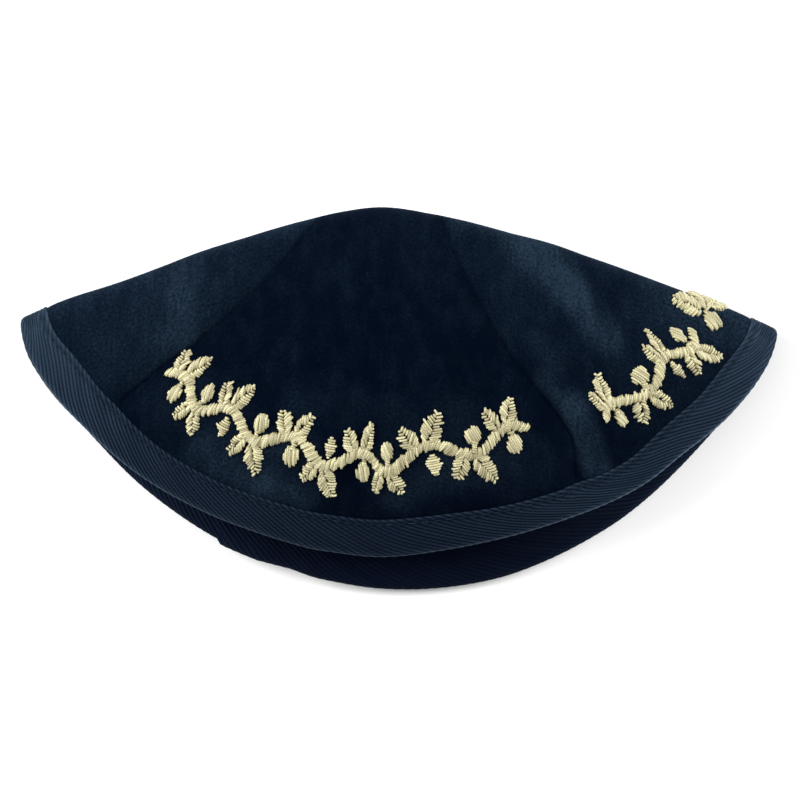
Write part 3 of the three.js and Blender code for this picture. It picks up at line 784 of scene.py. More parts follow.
def velvet_finish(finish):
    """Short pile: near black seen from above, lighter where it lies the light way and where highlights
    and sheen are painted on it, with a fine grain.
    """
    made_of = Finish(
        "navy_velvet", (0.25, 0.48, 0.9),
        Roughness=0.95, Specular_IOR_Level=0.01, Sheen_Weight=0.03, Sheen_Roughness=0.3,
    )
    cloth = made_of.field("cloth").outputs["Vector"]
    nap = made_of.field("nap").outputs["Fac"]
    inside = made_of.field("inside").outputs["Fac"]
    tufts = made_of.noise(cloth, scale=1500, detail=2, roughness=0.6)
    strokes = made_of.noise(made_of.stretch(cloth, 0.32), scale=420, detail=3, roughness=0.6)
    sweeps = made_of.noise(made_of.stretch(cloth, 0.4), scale=95, detail=3, roughness=0.55)
    clouds = made_of.noise(cloth, scale=45, detail=3, roughness=0.55)
    mottles = made_of.noise(made_of.stretch(cloth, 0.6), scale=210, detail=4, roughness=0.62)
    specks = made_of.noise(cloth, scale=700, detail=1, roughness=0.4)

    # Lighter pile, partly painted highlight and sheen, broken up by sweeps
    broken = made_of.times(nap, made_of.carry(sweeps, (0.3, 0.66), (0.6, 1.2)))
    cloudy = made_of.carry(clouds, (0.46, 0.74), (0.0, 0.1))
    mottled = made_of.carry(mottles, (0.44, 0.74), (0.0, 0.14))
    lit = made_of.plus(broken, made_of.plus(cloudy, mottled))
    tufted = made_of.carry(tufts, (0.3, 0.72), (0.5, 1.45))
    stroked = made_of.carry(strokes, (0.3, 0.7), (0.65, 1.3))
    amount = made_of.times(lit, made_of.times(tufted, stroked))
    amount = made_of.plus(amount, made_of.carry(specks, (0.76, 0.8), (0.0, finish.specks)))

    pile = made_of.mix(amount, tuple(finish.velvet), tuple(finish.brushed))
    shaded = made_of.mix(0.5, pile, (0.0, 0.0, 0.0))
    speckled = made_of.mix(made_of.carry(tufts, (0.2, 0.8)), shaded, pile)
    plain = made_of.carry(tufts, (0.3, 0.7))
    plain = made_of.mix(plain, tuple(finish.velvet), tuple(finish.velvet_back))
    made_of.set("Base Color", made_of.mix(inside, speckled, plain))
    coarse = made_of.bump(strokes, distance=0.25 * MM, strength=0.5)
    made_of.set("Normal", made_of.bump(tufts, distance=0.2 * MM, strength=0.7, normal=coarse))
    made_of.set("Roughness", made_of.carry(strokes, (0.3, 0.7), (0.8, 1.0)))
    return made_of.material


def twill_finish(finish):
    """Cotton twill: bright ribs over dark valleys, whose dark is painted shade, fine yarns across them,
    painted light and shade along the tape and a painted highlight on its fold.
    """
    made_of = Finish(
        "navy_twill", (0.5, 0.7, 1.0),
        Roughness=0.8, Specular_IOR_Level=0.02, Sheen_Weight=0.02, Sheen_Roughness=0.4,
    )
    weave = made_of.field("weave").outputs["Vector"]
    rib = made_of.field("rib").outputs["Fac"]
    faded = made_of.field("faded").outputs["Fac"]
    yarns = made_of.bands(
        weave, "Y", {"Scale": 560, "Distortion": 2.5, "Detail": 2, "Detail Scale": 1.5}
    )
    fuzz = made_of.noise(weave, scale=2200, detail=3, roughness=0.65)
    uneven = made_of.noise(made_of.stretch(weave, 0.25), scale=330, detail=3, roughness=0.6)

    level = made_of.times(rib, made_of.carry(uneven, (0.3, 0.7), (0.6, 1.15)))
    level = made_of.times(level, made_of.carry(yarns, (0.0, 1.0), (0.72, 1.05)))
    level = made_of.times(level, made_of.carry(fuzz, (0.25, 0.75), (0.75, 1.2)))
    # The valleys between ribs take painted shade
    yarn_colour = made_of.mix(level, tuple(finish.tape_valley), tuple(finish.tape_rib))
    # Painted light and shade: from the tape's painted shade colour to its yarn colour, by the light
    # painted on each line
    cloth_colour = made_of.mix(faded, tuple(finish.tape_deep), yarn_colour)
    # Painted highlight: where the painted light rises above 1, the tape turns to the highlight colour
    highlit = made_of.carry(faded, (1.0, 2.0))
    made_of.set("Base Color", made_of.mix(highlit, cloth_colour, tuple(finish.tape_rubbed)))
    coarse = made_of.bump(yarns, distance=0.12 * MM, strength=0.6)
    made_of.set("Normal", made_of.bump(fuzz, distance=0.08 * MM, strength=0.6, normal=coarse))
    made_of.set("Roughness", made_of.carry(fuzz, (0.2, 0.8), (0.62, 0.9)))
    return made_of.material


def thread_finish(name, light, dark, gloss, shine, sheen):
    """Twisted thread: a helix of two plies with painted shade in the grooves between them, each laid
    thread a little lighter or darker.
    """
    made_of = Finish(
        name, (1, 1, 1),
        Roughness=gloss, Specular_IOR_Level=shine, Sheen_Weight=sheen, Sheen_Roughness=0.4,
    )
    twist = made_of.field("twist").outputs["Vector"]
    own = made_of.field("own").outputs["Fac"]
    plies = made_of.bands(twist, "DIAGONAL", {"Scale": 0.318, "Distortion": 0.4, "Detail": 1})
    place = made_of.add("TexCoord").outputs["Object"]
    fuzz = made_of.noise(place, scale=1800, detail=3, roughness=0.6)

    level = made_of.carry(own, (0.0, 1.0), (0.25, 1.1))
    # The grooves between the plies take the dark colour, painted shade
    level = made_of.times(level, made_of.carry(plies, (0.0, 1.0), (0.6, 1.05)))
    level = made_of.times(level, made_of.carry(fuzz, (0.25, 0.75), (0.8, 1.15)))
    made_of.set("Base Color", made_of.mix(level, dark, light))
    coarse = made_of.bump(plies, distance=0.06 * MM, strength=0.5)
    made_of.set("Normal", made_of.bump(fuzz, distance=0.03 * MM, strength=0.5, normal=coarse))
    made_of.set("Roughness", made_of.carry(plies, (0.0, 1.0), (gloss + 0.15, gloss - 0.05)))
    return made_of.material


def floor_finish():
    """Pale matt paper."""
    made_of = Finish("studio_floor", (1, 1, 1), Roughness=0.9, Specular_IOR_Level=0.1)
    place = made_of.add("TexCoord").outputs["Object"]
    grain = made_of.noise(place, scale=30, detail=3, roughness=0.5)
    made_of.set("Base Color", made_of.mix(grain, (0.9, 0.9, 0.9), (0.93, 0.93, 0.93)))
    return made_of.material


# The stage


class SKULLCAP_OT_stage(bpy.types.Operator):
    """Set the camera straight above, the soft lights and the pale floor"""

    bl_idname = "skullcap.stage"
    bl_label = "Camera, lights and floor"
    CAP_LEVEL = 5 * MM
    SENSOR = 36.0
    # The lights: name, place, side, and the setting that holds the watts
    LIGHTS = (
        ("key_light", (-1.0, 0.32, 0.5), 0.6, "key"),
        ("fill_light", (1.0, 0.35, 0.5), 0.6, "fill"),
    )

    def execute(self, context):
        studio = context.scene.skullcap_studio
        scene = context.scene
        camera = bpy.data.objects.new("camera", bpy.data.cameras.new("camera"))
        camera.location = (studio.aim_x, studio.aim_y, studio.camera_height)
        camera.data.sensor_width = self.SENSOR
        camera.data.lens = self.SENSOR * (studio.camera_height - self.CAP_LEVEL) / studio.view_width
        scene.collection.objects.link(camera)
        scene.camera = camera
        scene.view_settings.view_transform = "Standard"
        scene.view_settings.look = "None"
        world = bpy.data.worlds.new("studio")
        world.use_nodes = True
        background = world.node_tree.nodes["Background"]
        background.inputs["Color"].default_value = (1, 1, 1, 1)
        background.inputs["Strength"].default_value = studio.sky
        scene.world = world
        for name, place, size, watts in self.LIGHTS:
            lamp = bpy.data.lights.new(name, "AREA")
            lamp.size = size
            lamp.energy = getattr(studio, watts)
            light = bpy.data.objects.new(name, lamp)
            light.location = place
            light.rotation_euler = (-Vector(place)).to_track_quat("-Z", "Y").to_euler()
            scene.collection.objects.link(light)
        half = studio.floor_size / 2
        mesh = bpy.data.meshes.new("floor")
        corners = [(-half, -half, 0), (half, -half, 0), (half, half, 0), (-half, half, 0)]
        mesh.from_pydata(corners, [], [(0, 1, 2, 3)])
        mesh.materials.append(floor_finish())
        floor = bpy.data.objects.new("floor", mesh)
        scene.collection.objects.link(floor)
        return {"FINISHED"}


# The velvet


def crowded(start, end, step, near):
    """Lengths from start to end, even in the middle and close together at both ends."""
    count = max(2, round((end - start - 2 * near[-1]) / step) + 1)
    middle = np.linspace(start + near[-1], end - near[-1], count)
    return np.concatenate([start + near[:-1], middle, (end - near[:-1])[::-1]])


class SKULLCAP_OT_velvet(bpy.types.Operator):
    """Make the four velvet panels"""

    bl_idname = "skullcap.velvet"
    bl_label = "Velvet panels"
    HALF_GAP = 0.01 * MM
    STEP = 1.0 * MM
    BESIDE_SEAM = np.array([0, 0.2, 0.45, 0.75, 1.1, 1.6, 2.3]) * MM
    # Rows beside the rim: share of the tape's width or of the pile's shoulder, and the pile's rise
    UNDER_TAPE = ((0.0, 0.0), (0.3, 0.0), (0.6, 0.0), (0.86, 0.0), (0.985, 0.24))
    SHOULDER = ((0.03, 0.82), (0.2, 0.92), (0.45, 0.97), (0.72, 0.99), (1.0, 1.0))
    RIDGE_SMOOTH = 9 * MM
    RIDGE_SHINE = 4 * MM
    PUCKER_PITCH = 3.1 * MM
    PUCKER_WIDTH = 3.2 * MM
    NAP_SPREAD = 1.5
    SEAM_SHADE = 0.6

    def panel_flat(self, cloth, i):
        """A panel's flat points: a strip beside the rim, then a field between its two seams."""
        start, end = cloth.seam_lengths[i], cloth.seam_lengths[(i + 1) % len(SEAMS)]
        if end < start:
            end += cloth.loop_length
        lengths = crowded(start + self.HALF_GAP, end - self.HALF_GAP, self.STEP, self.BESIDE_SEAM)
        covered = cloth.tape_width_at(lengths)
        inward = [covered * part for part, _ in self.UNDER_TAPE]
        shoulder = cloth.clearance + cloth.PILE_SHOULDER
        inward += [covered + shoulder * part for part, _ in self.SHOULDER]
        strip = np.array([cloth.flat_at(lengths, row) for row in inward])
        rises = [rise for _, rise in self.UNDER_TAPE + self.SHOULDER]

        foot = strip[-1]
        sides = []
        for number, side, corner in ((i, 1, foot[0]), ((i + 1) % len(SEAMS), -1, foot[-1])):
            line = cloth.seam_lines[number]
            along = unit(np.gradient(line, axis=0))
            line = line + side * self.HALF_GAP * np.stack([-along[:, 1], along[:, 0]], axis=1)
            rows = round(max(lengths_along(seam)[-1] for seam in cloth.seam_lines) / self.STEP)
            reached = lengths_along(line)
            line = along_line(line, np.linspace(0, reached[-1], rows))
            sides.append(line + (corner - line[-1]) * np.linspace(0, 1, rows)[:, None])
        first, second = sides
        u = ((lengths - lengths[0]) / (lengths[-1] - lengths[0]))[None, :, None]
        v = np.linspace(0, 1, len(first))[:, None, None]
        straight = (1 - u) * first[:, None] + u * second[:, None]
        field = straight + v * (foot[None] - (1 - u) * first[-1] - u * second[-1])
        field = field[::-1][1:]
        rises = np.concatenate([rises, np.ones(len(field))])
        return np.concatenate([strip, field]), rises

    def nap_at(self, cloth, flat, panel):
        """How far the pile lies the light way, with the painted highlights and sheen on it."""
        total = np.zeros(len(flat))
        for _, start, end, width, strength in (row for row in BRUSHED_AND_HIGHLIT if row[0] == panel):
            start, end = cloth.on_cloth(*start, FRONT), cloth.on_cloth(*end, FRONT)
            distance = distances_to(flat, start[None], end[None])[0][:, 0]
            total += strength * fade(distance, self.NAP_SPREAD * width * cloth.half_length)
        total += FOLD_SHEEN_AND_WEAR[panel] * np.exp(-((flat[:, 1] / self.RIDGE_SHINE) ** 2))
        return np.clip(total, 0, 1)

    def execute(self, context):
        cloth = shaped_cloth(context.scene)
        velvet = velvet_finish(context.scene.skullcap_finish)
        for i, name in enumerate(PANELS):
            flat, rises = self.panel_flat(cloth, i)
            rows, columns, _ = flat.shape
            flat = flat.reshape(-1, 2)
            rises = np.repeat(rises, columns)
            distance, reached = cloth.seam_nearness(flat)
            beside = np.exp(-((distance / cloth.seam_roll_width) ** 2))
            wave = 0.5 + 0.5 * np.cos(FULL_TURN * reached / self.PUCKER_PITCH)
            pucker = wave * fade(distance, self.PUCKER_WIDTH)
            pile = cloth.pressed_half + (cloth.pile_face - cloth.pressed_half) * rises
            off_ridge = ease(np.abs(flat[:, 1]) / self.RIDGE_SMOOTH)
            pile = pile - rises * off_ridge * (cloth.seam_roll * beside + cloth.seam_pucker * pucker)
            filled = rises * (1 - off_ridge) * cloth.seam_dip
            pile = pile + filled * fade(distance, cloth.seam_dip_width)
            back = np.where(rises > 0, cloth.cloth_back, cloth.pressed_half)
            outer = cloth.raised(flat, pile)
            inner = cloth.raised(flat, -back)
            points = np.concatenate([outer, inner]) + cloth.shift
            coordinates = np.concatenate([flat, np.zeros((len(flat), 1))], axis=1)
            nap = self.nap_at(cloth, flat, name) * (1 - self.SEAM_SHADE * beside)
            fields = {
                "cloth": np.concatenate([coordinates, coordinates + [0, 0, 1]]),
                "nap": np.concatenate([nap, nap * 0]),
                "inside": np.concatenate([nap * 0, nap * 0 + 1]),
            }
            faces = wall_faces(rows, columns)
            add_piece("velvet_" + name, points, faces, fields, velvet, ["panel_" + name])
        return {"FINISHED"}


# The tape


class SKULLCAP_OT_tape(bpy.types.Operator):
    """Make the twill tape folded round the rim"""

    bl_idname = "skullcap.tape"
    bl_label = "Rim tape"
    PARTS_PER_RIB = 8
    # From the tape's inner edge, across the topstitched line
    EDGE_STEPS = np.array([0, 0.12, 0.4, 0.8, 1.1, 1.35, 1.6, 1.95, 2.6]) * MM
    LEG_SHARES = np.linspace(0.1, 1.0, 10)
    BEND_STEPS = 9
    LINING_STEPS = 4
    EDGE_ROUND = 0.3 * MM
    GROOVE_WIDTH = 0.75 * MM
    GROOVE_LEAST = 0.45
    # How much the stitches flatten the ribs under them, which also draws the stitched line nearer the
    # valleys' painted shade
    FLATTENED = 0.5
    # The tape is drawn a little lighter along its inner edge
    EDGE_RUB = 0.12
    EDGE_RUB_WIDTH = 0.5 * MM
    # Ribs below this share of their pitch are as bunched as can be, and show least
    BUNCHED = 0.25
    RIB_LEAST = 0.35
    MEAN_RIB = 0.55
    CREST_POWER = 0.7
    # Less contrast between ribs and valleys where more light is painted on the tape
    FADED_CONTRAST = ((0.17, 0.34, 0.5, 0.85), (0.3, 1.0, 1.0, 0.6))
    TIP_CALM = 6 * MM
    TIP_FLATTENING = 0.9
    # Painted highlight: a bright line on the upper leg's fold, which fades out towards the tips
    FOLD_RUB = 1.5
    RUB_START = 6 * MM
    RUB_EASE = 25 * MM
    RUB_SINE = 0.6
    RUB_SPREAD = 0.26

    def execute(self, context):
        cloth = shaped_cloth(context.scene)
        tape = context.scene.skullcap_tape
        ribs = round(cloth.loop_length / tape.rib_pitch)
        stations = ribs * self.PARTS_PER_RIB
        base = np.arange(stations) * cloth.loop_length / stations
        phase = np.arange(stations) * FULL_TURN / self.PARTS_PER_RIB
        crest = (0.5 + 0.5 * np.cos(phase)) ** self.CREST_POWER
        slope = 1 / math.tan(tape.rib_slant)
        stitches = round(cloth.loop_length / tape.stitch_length)
        bend_length = HALF_TURN * cloth.tape_outer

        half_rib = self.PARTS_PER_RIB // 2
        last = self.EDGE_STEPS[-1]
        nominal = np.concatenate([self.EDGE_STEPS, last + (tape.width - last) * self.LEG_SHARES])
        rows, weave, ribbed, faded = [], [], [], []

        def put(points, lengths, across, rib, leg, rub):
            """Keep one line along the tape. leg runs from 1 on its outer leg to 0 on its inner one."""
            at = np.clip(cloth.loop_point(lengths)[:, 0] / cloth.half_length, -1, 1)
            rows.append(points)
            weave.append(np.stack([base, np.full(stations, across), np.zeros(stations)], axis=1))
            # The light and shade painted on this line of the tape, between its outer and its inner leg
            lighted_here = PAINTED_LIGHT.at("outer", at) * leg + PAINTED_LIGHT.at("inner", at) * (1 - leg)
            contrast = np.interp(lighted_here, *self.FADED_CONTRAST)
            ribbed.append(self.MEAN_RIB + (rib - self.MEAN_RIB) * contrast)
            faded.append(lighted_here + rub)

        def depth_at(lengths):
            """The ribs' depth, which flattens out where the tape turns over the fold."""
            from_tip = cloth.loop_point(lengths)[:, 1] / self.TIP_CALM
            return tape.rib_depth * (1 - self.TIP_FLATTENING * np.exp(-(from_tip**2)))

        def leg_row(k, side, across):
            """One line along a leg's outer face, the side 1 on top and -1 below."""
            lengths = base + slope * across
            width = cloth.tape_width_at(lengths)
            beyond = k - len(self.EDGE_STEPS)
            from_edge = nominal[k] if beyond < 0 else last + (width - last) * self.LEG_SHARES[beyond]
            inward = np.maximum(width - from_edge, 0)
            stitch = np.exp(-(((nominal[k] - tape.stitch_inset) / self.GROOVE_WIDTH) ** 2) * 2)
            pull = np.cos(HALF_TURN * lengths / cloth.loop_length * stitches) ** 4
            groove = tape.stitch_groove * stitch * (self.GROOVE_LEAST + (1 - self.GROOVE_LEAST) * pull)
            rounding = self.EDGE_ROUND * (1 - min(nominal[k] / self.EDGE_STEPS[2], 1)) ** 2
            flat = cloth.flat_at(lengths, inward)
            room = np.linalg.norm(np.roll(flat, -half_rib, 0) - np.roll(flat, half_rib, 0), axis=1)
            room = ease((room / tape.rib_pitch - self.BUNCHED) / (1 - self.BUNCHED))
            flattened = 1 - self.FLATTENED * stitch
            valley = (1 - crest) * depth_at(lengths) * flattened * room
            height = cloth.tape_outer + cloth.lap_extra(lengths) - valley - groove - rounding
            # A little lighter along the tape's inner edge
            rub = self.EDGE_RUB * math.exp(-((nominal[k] / self.EDGE_RUB_WIDTH) ** 2))
            shown = self.RIB_LEAST + (1 - self.RIB_LEAST) * room
            rib = self.MEAN_RIB + (crest * flattened - self.MEAN_RIB) * shown
            put(cloth.raised(flat, side * height), lengths, across, rib, (1 + side) / 2, rub)

        def lining_row(k, side, across):
            """One line along a leg's face on the cloth."""
            lengths = base + slope * across
            inward = np.maximum(cloth.tape_width_at(lengths) - nominal[k], 0)
            height = np.full(stations, side * cloth.tape_inner)
            points = cloth.raised(cloth.flat_at(lengths, inward), height)
            put(points, lengths, across, crest, (1 + side) / 2, 0)

        def bend_row(turn, reach, across, rub):
            """One line along the bend round the cloth's edge."""
            lengths = base + slope * across
            edge, normal, inward = cloth.rim_frame(lengths)
            points = edge + (normal * math.sin(turn) - inward * math.cos(turn)) * reach[:, None]
            put(points, lengths, across, crest, 0.5 + 0.5 * math.sin(turn), rub)

        for k in range(len(nominal) - 1):
            leg_row(k, 1, nominal[k])
        for i in range(self.BEND_STEPS + 1):
            turn = QUARTER_TURN - i * HALF_TURN / self.BEND_STEPS
            across = tape.width + bend_length * i / self.BEND_STEPS
            lengths = base + slope * across
            reach = cloth.tape_outer + cloth.lap_extra(lengths) - (1 - crest) * depth_at(lengths)
            # A painted highlight on the upper leg's fold, fading out towards the tips
            upper = np.clip((-cloth.loop_point(lengths)[:, 1] - self.RUB_START) / self.RUB_EASE, 0, 1)
            away = (math.sin(turn) - self.RUB_SINE) / self.RUB_SPREAD
            rub = upper * self.FOLD_RUB * math.exp(-(away**2))
            bend_row(turn, reach, across, rub)
        for k in range(len(nominal) - 2, -1, -1):
            beyond = k - len(self.EDGE_STEPS)
            if beyond < 0 or beyond % 2:
                leg_row(k, -1, 2 * tape.width + bend_length - nominal[k])
        lining = (0, len(self.EDGE_STEPS) - 2)
        for k in lining:
            lining_row(k, -1, 2 * tape.width + bend_length - nominal[k])
        for i in range(self.LINING_STEPS + 1):
            turn = -QUARTER_TURN + i * HALF_TURN / self.LINING_STEPS
            across = tape.width + bend_length * (1 - i / self.LINING_STEPS)
            bend_row(turn, np.full(stations, cloth.tape_inner), across, 0)
        for k in lining[::-1]:
            lining_row(k, 1, nominal[k])

        points = np.concatenate(rows) + cloth.shift
        faces = grid_faces(len(rows), stations, closed_columns=True, closed_rows=True)[:, ::-1]
        fields = {
            "weave": np.concatenate(weave),
            "rib": np.concatenate(ribbed),
            "faded": np.concatenate(faded),
        }
        twill = twill_finish(context.scene.skullcap_finish)
        add_piece("twill_tape", points, [faces], fields, twill, ["binding"])
        return {"FINISHED"}


class SKULLCAP_OT_topstitch(bpy.types.Operator):
    """Sew the topstitched line through both legs of the tape"""

    bl_idname = "skullcap.topstitch"
    bl_label = "Topstitching"
    ALONG = np.array([0.06, 0.14, 0.3, 0.5, 0.7, 0.86, 0.94])
    SINK = np.array([0.55, 0.16, -0.02, -0.06, -0.02, 0.16, 0.55]) * MM
    SIDES = 6
    SEED = 11
    WANDER = 0.05 * MM
    # How deep the thread lies in its groove
    BEDDED_SHARE = 0.55
    BEDDED = 0.05 * MM
    SHADED = 0.4

    def execute(self, context):
        cloth = shaped_cloth(context.scene)
        tape = context.scene.skullcap_tape
        random = np.random.default_rng(self.SEED)
        count = round(cloth.loop_length / tape.stitch_length)
        pitch = cloth.loop_length / count
        starts = (np.arange(count) + 0.5)[:, None] * pitch
        lengths = starts + self.ALONG * pitch
        wander = random.normal(0, self.WANDER, (count, 1)) + np.zeros_like(lengths)
        inward = np.maximum(cloth.tape_width_at(lengths) - tape.stitch_inset + wander, 0)
        flat = cloth.flat_at(lengths, inward)
        here, _, _, normal = cloth.frame_at(flat)
        level = cloth.tape_outer + cloth.lap_extra(lengths) - self.BEDDED_SHARE * tape.stitch_groove
        level = level - self.BEDDED - self.SINK
        paths = np.concatenate([here + normal * level[..., None], here - normal * level[..., None]])
        ups = np.concatenate([normal, -normal])
        radii = np.full(paths.shape[:2], tape.thread_radius)
        points, faces, turns = tubes(paths, ups, radii, self.SIDES)
        run = np.repeat(np.tile(self.ALONG * pitch, 2 * count), self.SIDES) / tape.thread_radius
        own = np.repeat(random.random(2 * count), len(self.ALONG) * self.SIDES)
        fields = {"twist": np.stack([run, turns * FULL_TURN, own], axis=1), "own": own}
        finish = context.scene.skullcap_finish
        light = tuple(finish.topstitch)
        dark = tuple(part * self.SHADED for part in light)
        thread = thread_finish("navy_thread", light, dark, gloss=0.7, shine=0.04, sheen=0.02)
        add_piece("tape_topstitch", points + cloth.shift, faces, fields, thread)
        return {"FINISHED"}


# The embroidery


class Needlework:
    """Satin stitches laid across spines in a plane: along the rim and inward from it."""

    JITTER = 0.3 * MM
    LOWEST = 0.35
    SPINE_SAMPLES = 24
    # The stitched stretch of a leaf, as shares of its length, and how much wider its threads are spaced
    LEAF_START = 0.12
    LEAF_END = 0.97
    LEAF_SPACING = 1.08
    # The leaf's outline is a sine with these powers
    LEAF_BELLY = 0.8
    LEAF_FULLNESS = 0.75
    LEAF_LEAN = 0.62
    VEIN = 0.05 * MM
    VEIN_SHARE = 0.03
    HALF_SHARE = 0.6
    # What a round or pointed shape keeps free at its first and last thread
    BERRY_START = 0.15 * MM
    LOZENGE_START = 0.2 * MM
    SHAPE_END = 0.1 * MM
    LOZENGE_LEAST = 0.12 * MM

    def __init__(self, ornament, seed, spacing=1.0):
        self.sizes = ornament
        self.pitch = ornament.thread_pitch * spacing
        self.random = np.random.default_rng(seed)
        self.ends = []
        self.heights = []

    def lay(self, centres, reach_left, reach_right, full):
        """Threads from one reach to the other, over padding that follows the stitch's width."""
        count = (len(centres), 1)
        left = centres + reach_left
        left = left + unit(reach_left) * self.random.normal(0, self.JITTER, count)
        right = centres + reach_right
        right = right + unit(reach_right) * self.random.normal(0, self.JITTER, count)
        width = np.linalg.norm(left - right, axis=1)
        self.ends.append(np.stack([left, right], axis=1))
        self.heights.append(self.sizes.padding * np.clip((width / full) ** 0.5, self.LOWEST, 1))

    def stroke(self, spine, widths, slant):
        """A satin-stitched stroke along a spine, its threads slanted by an angle."""
        line = smooth_curve(spine, False, self.SPINE_SAMPLES)
        reached = lengths_along(line)
        marks = np.arange(0, reached[-1], self.pitch)
        centres = along_line(line, marks)
        ahead = unit(np.gradient(centres, axis=0))
        beside = np.stack([-ahead[:, 1], ahead[:, 0]], axis=1)
        half = np.interp(marks / reached[-1], np.linspace(0, 1, len(widths)), widths) / 2
        reach = (beside * math.cos(slant) + ahead * math.sin(slant)) * (half / math.cos(slant))[:, None]
        self.lay(centres, reach, -reach, 2 * half.max())

    def leaf(self, foot, heading, size, width):
        """A leaf whose two halves meet at a vein."""
        direction = np.array([math.cos(heading), math.sin(heading)])
        across = np.array([-direction[1], direction[0]])
        marks = np.arange(self.LEAF_START * size, self.LEAF_END * size, self.pitch * self.LEAF_SPACING)
        half = width / 2 * np.sin(HALF_TURN * (marks / size) ** self.LEAF_BELLY) ** self.LEAF_FULLNESS
        lean = half * self.LEAF_LEAN
        for side in (1, -1):
            centres = foot + direction * (marks - lean)[:, None] + across * side * self.VEIN
            reach = across * (side * half)[:, None] + direction * lean[:, None]
            self.lay(centres, reach, reach * self.VEIN_SHARE, width * self.HALF_SHARE)

    def berry(self, middle, width, slant):
        """A round berry."""
        direction = np.array([math.cos(slant), math.sin(slant)])
        across = np.array([-direction[1], direction[0]])
        marks = np.arange(-width / 2 + self.BERRY_START, width / 2 - self.SHAPE_END, self.pitch)
        half = np.sqrt(np.maximum((width / 2) ** 2 - marks**2, 0))
        reach = across * half[:, None]
        self.lay(middle + direction * marks[:, None], reach, -reach, width)

    def lozenge(self, middle, long_, width, heading):
        """A bud that is pointed at both ends."""
        direction = np.array([math.cos(heading), math.sin(heading)])
        across = np.array([-direction[1], direction[0]])
        marks = np.arange(-long_ / 2 + self.LOZENGE_START, long_ / 2 - self.SHAPE_END, self.pitch)
        half = width / 2 * (1 - np.abs(marks) / (long_ / 2)) + self.LOZENGE_LEAST
        reach = across * half[:, None]
        self.lay(middle + direction * marks[:, None], reach, -reach, width)


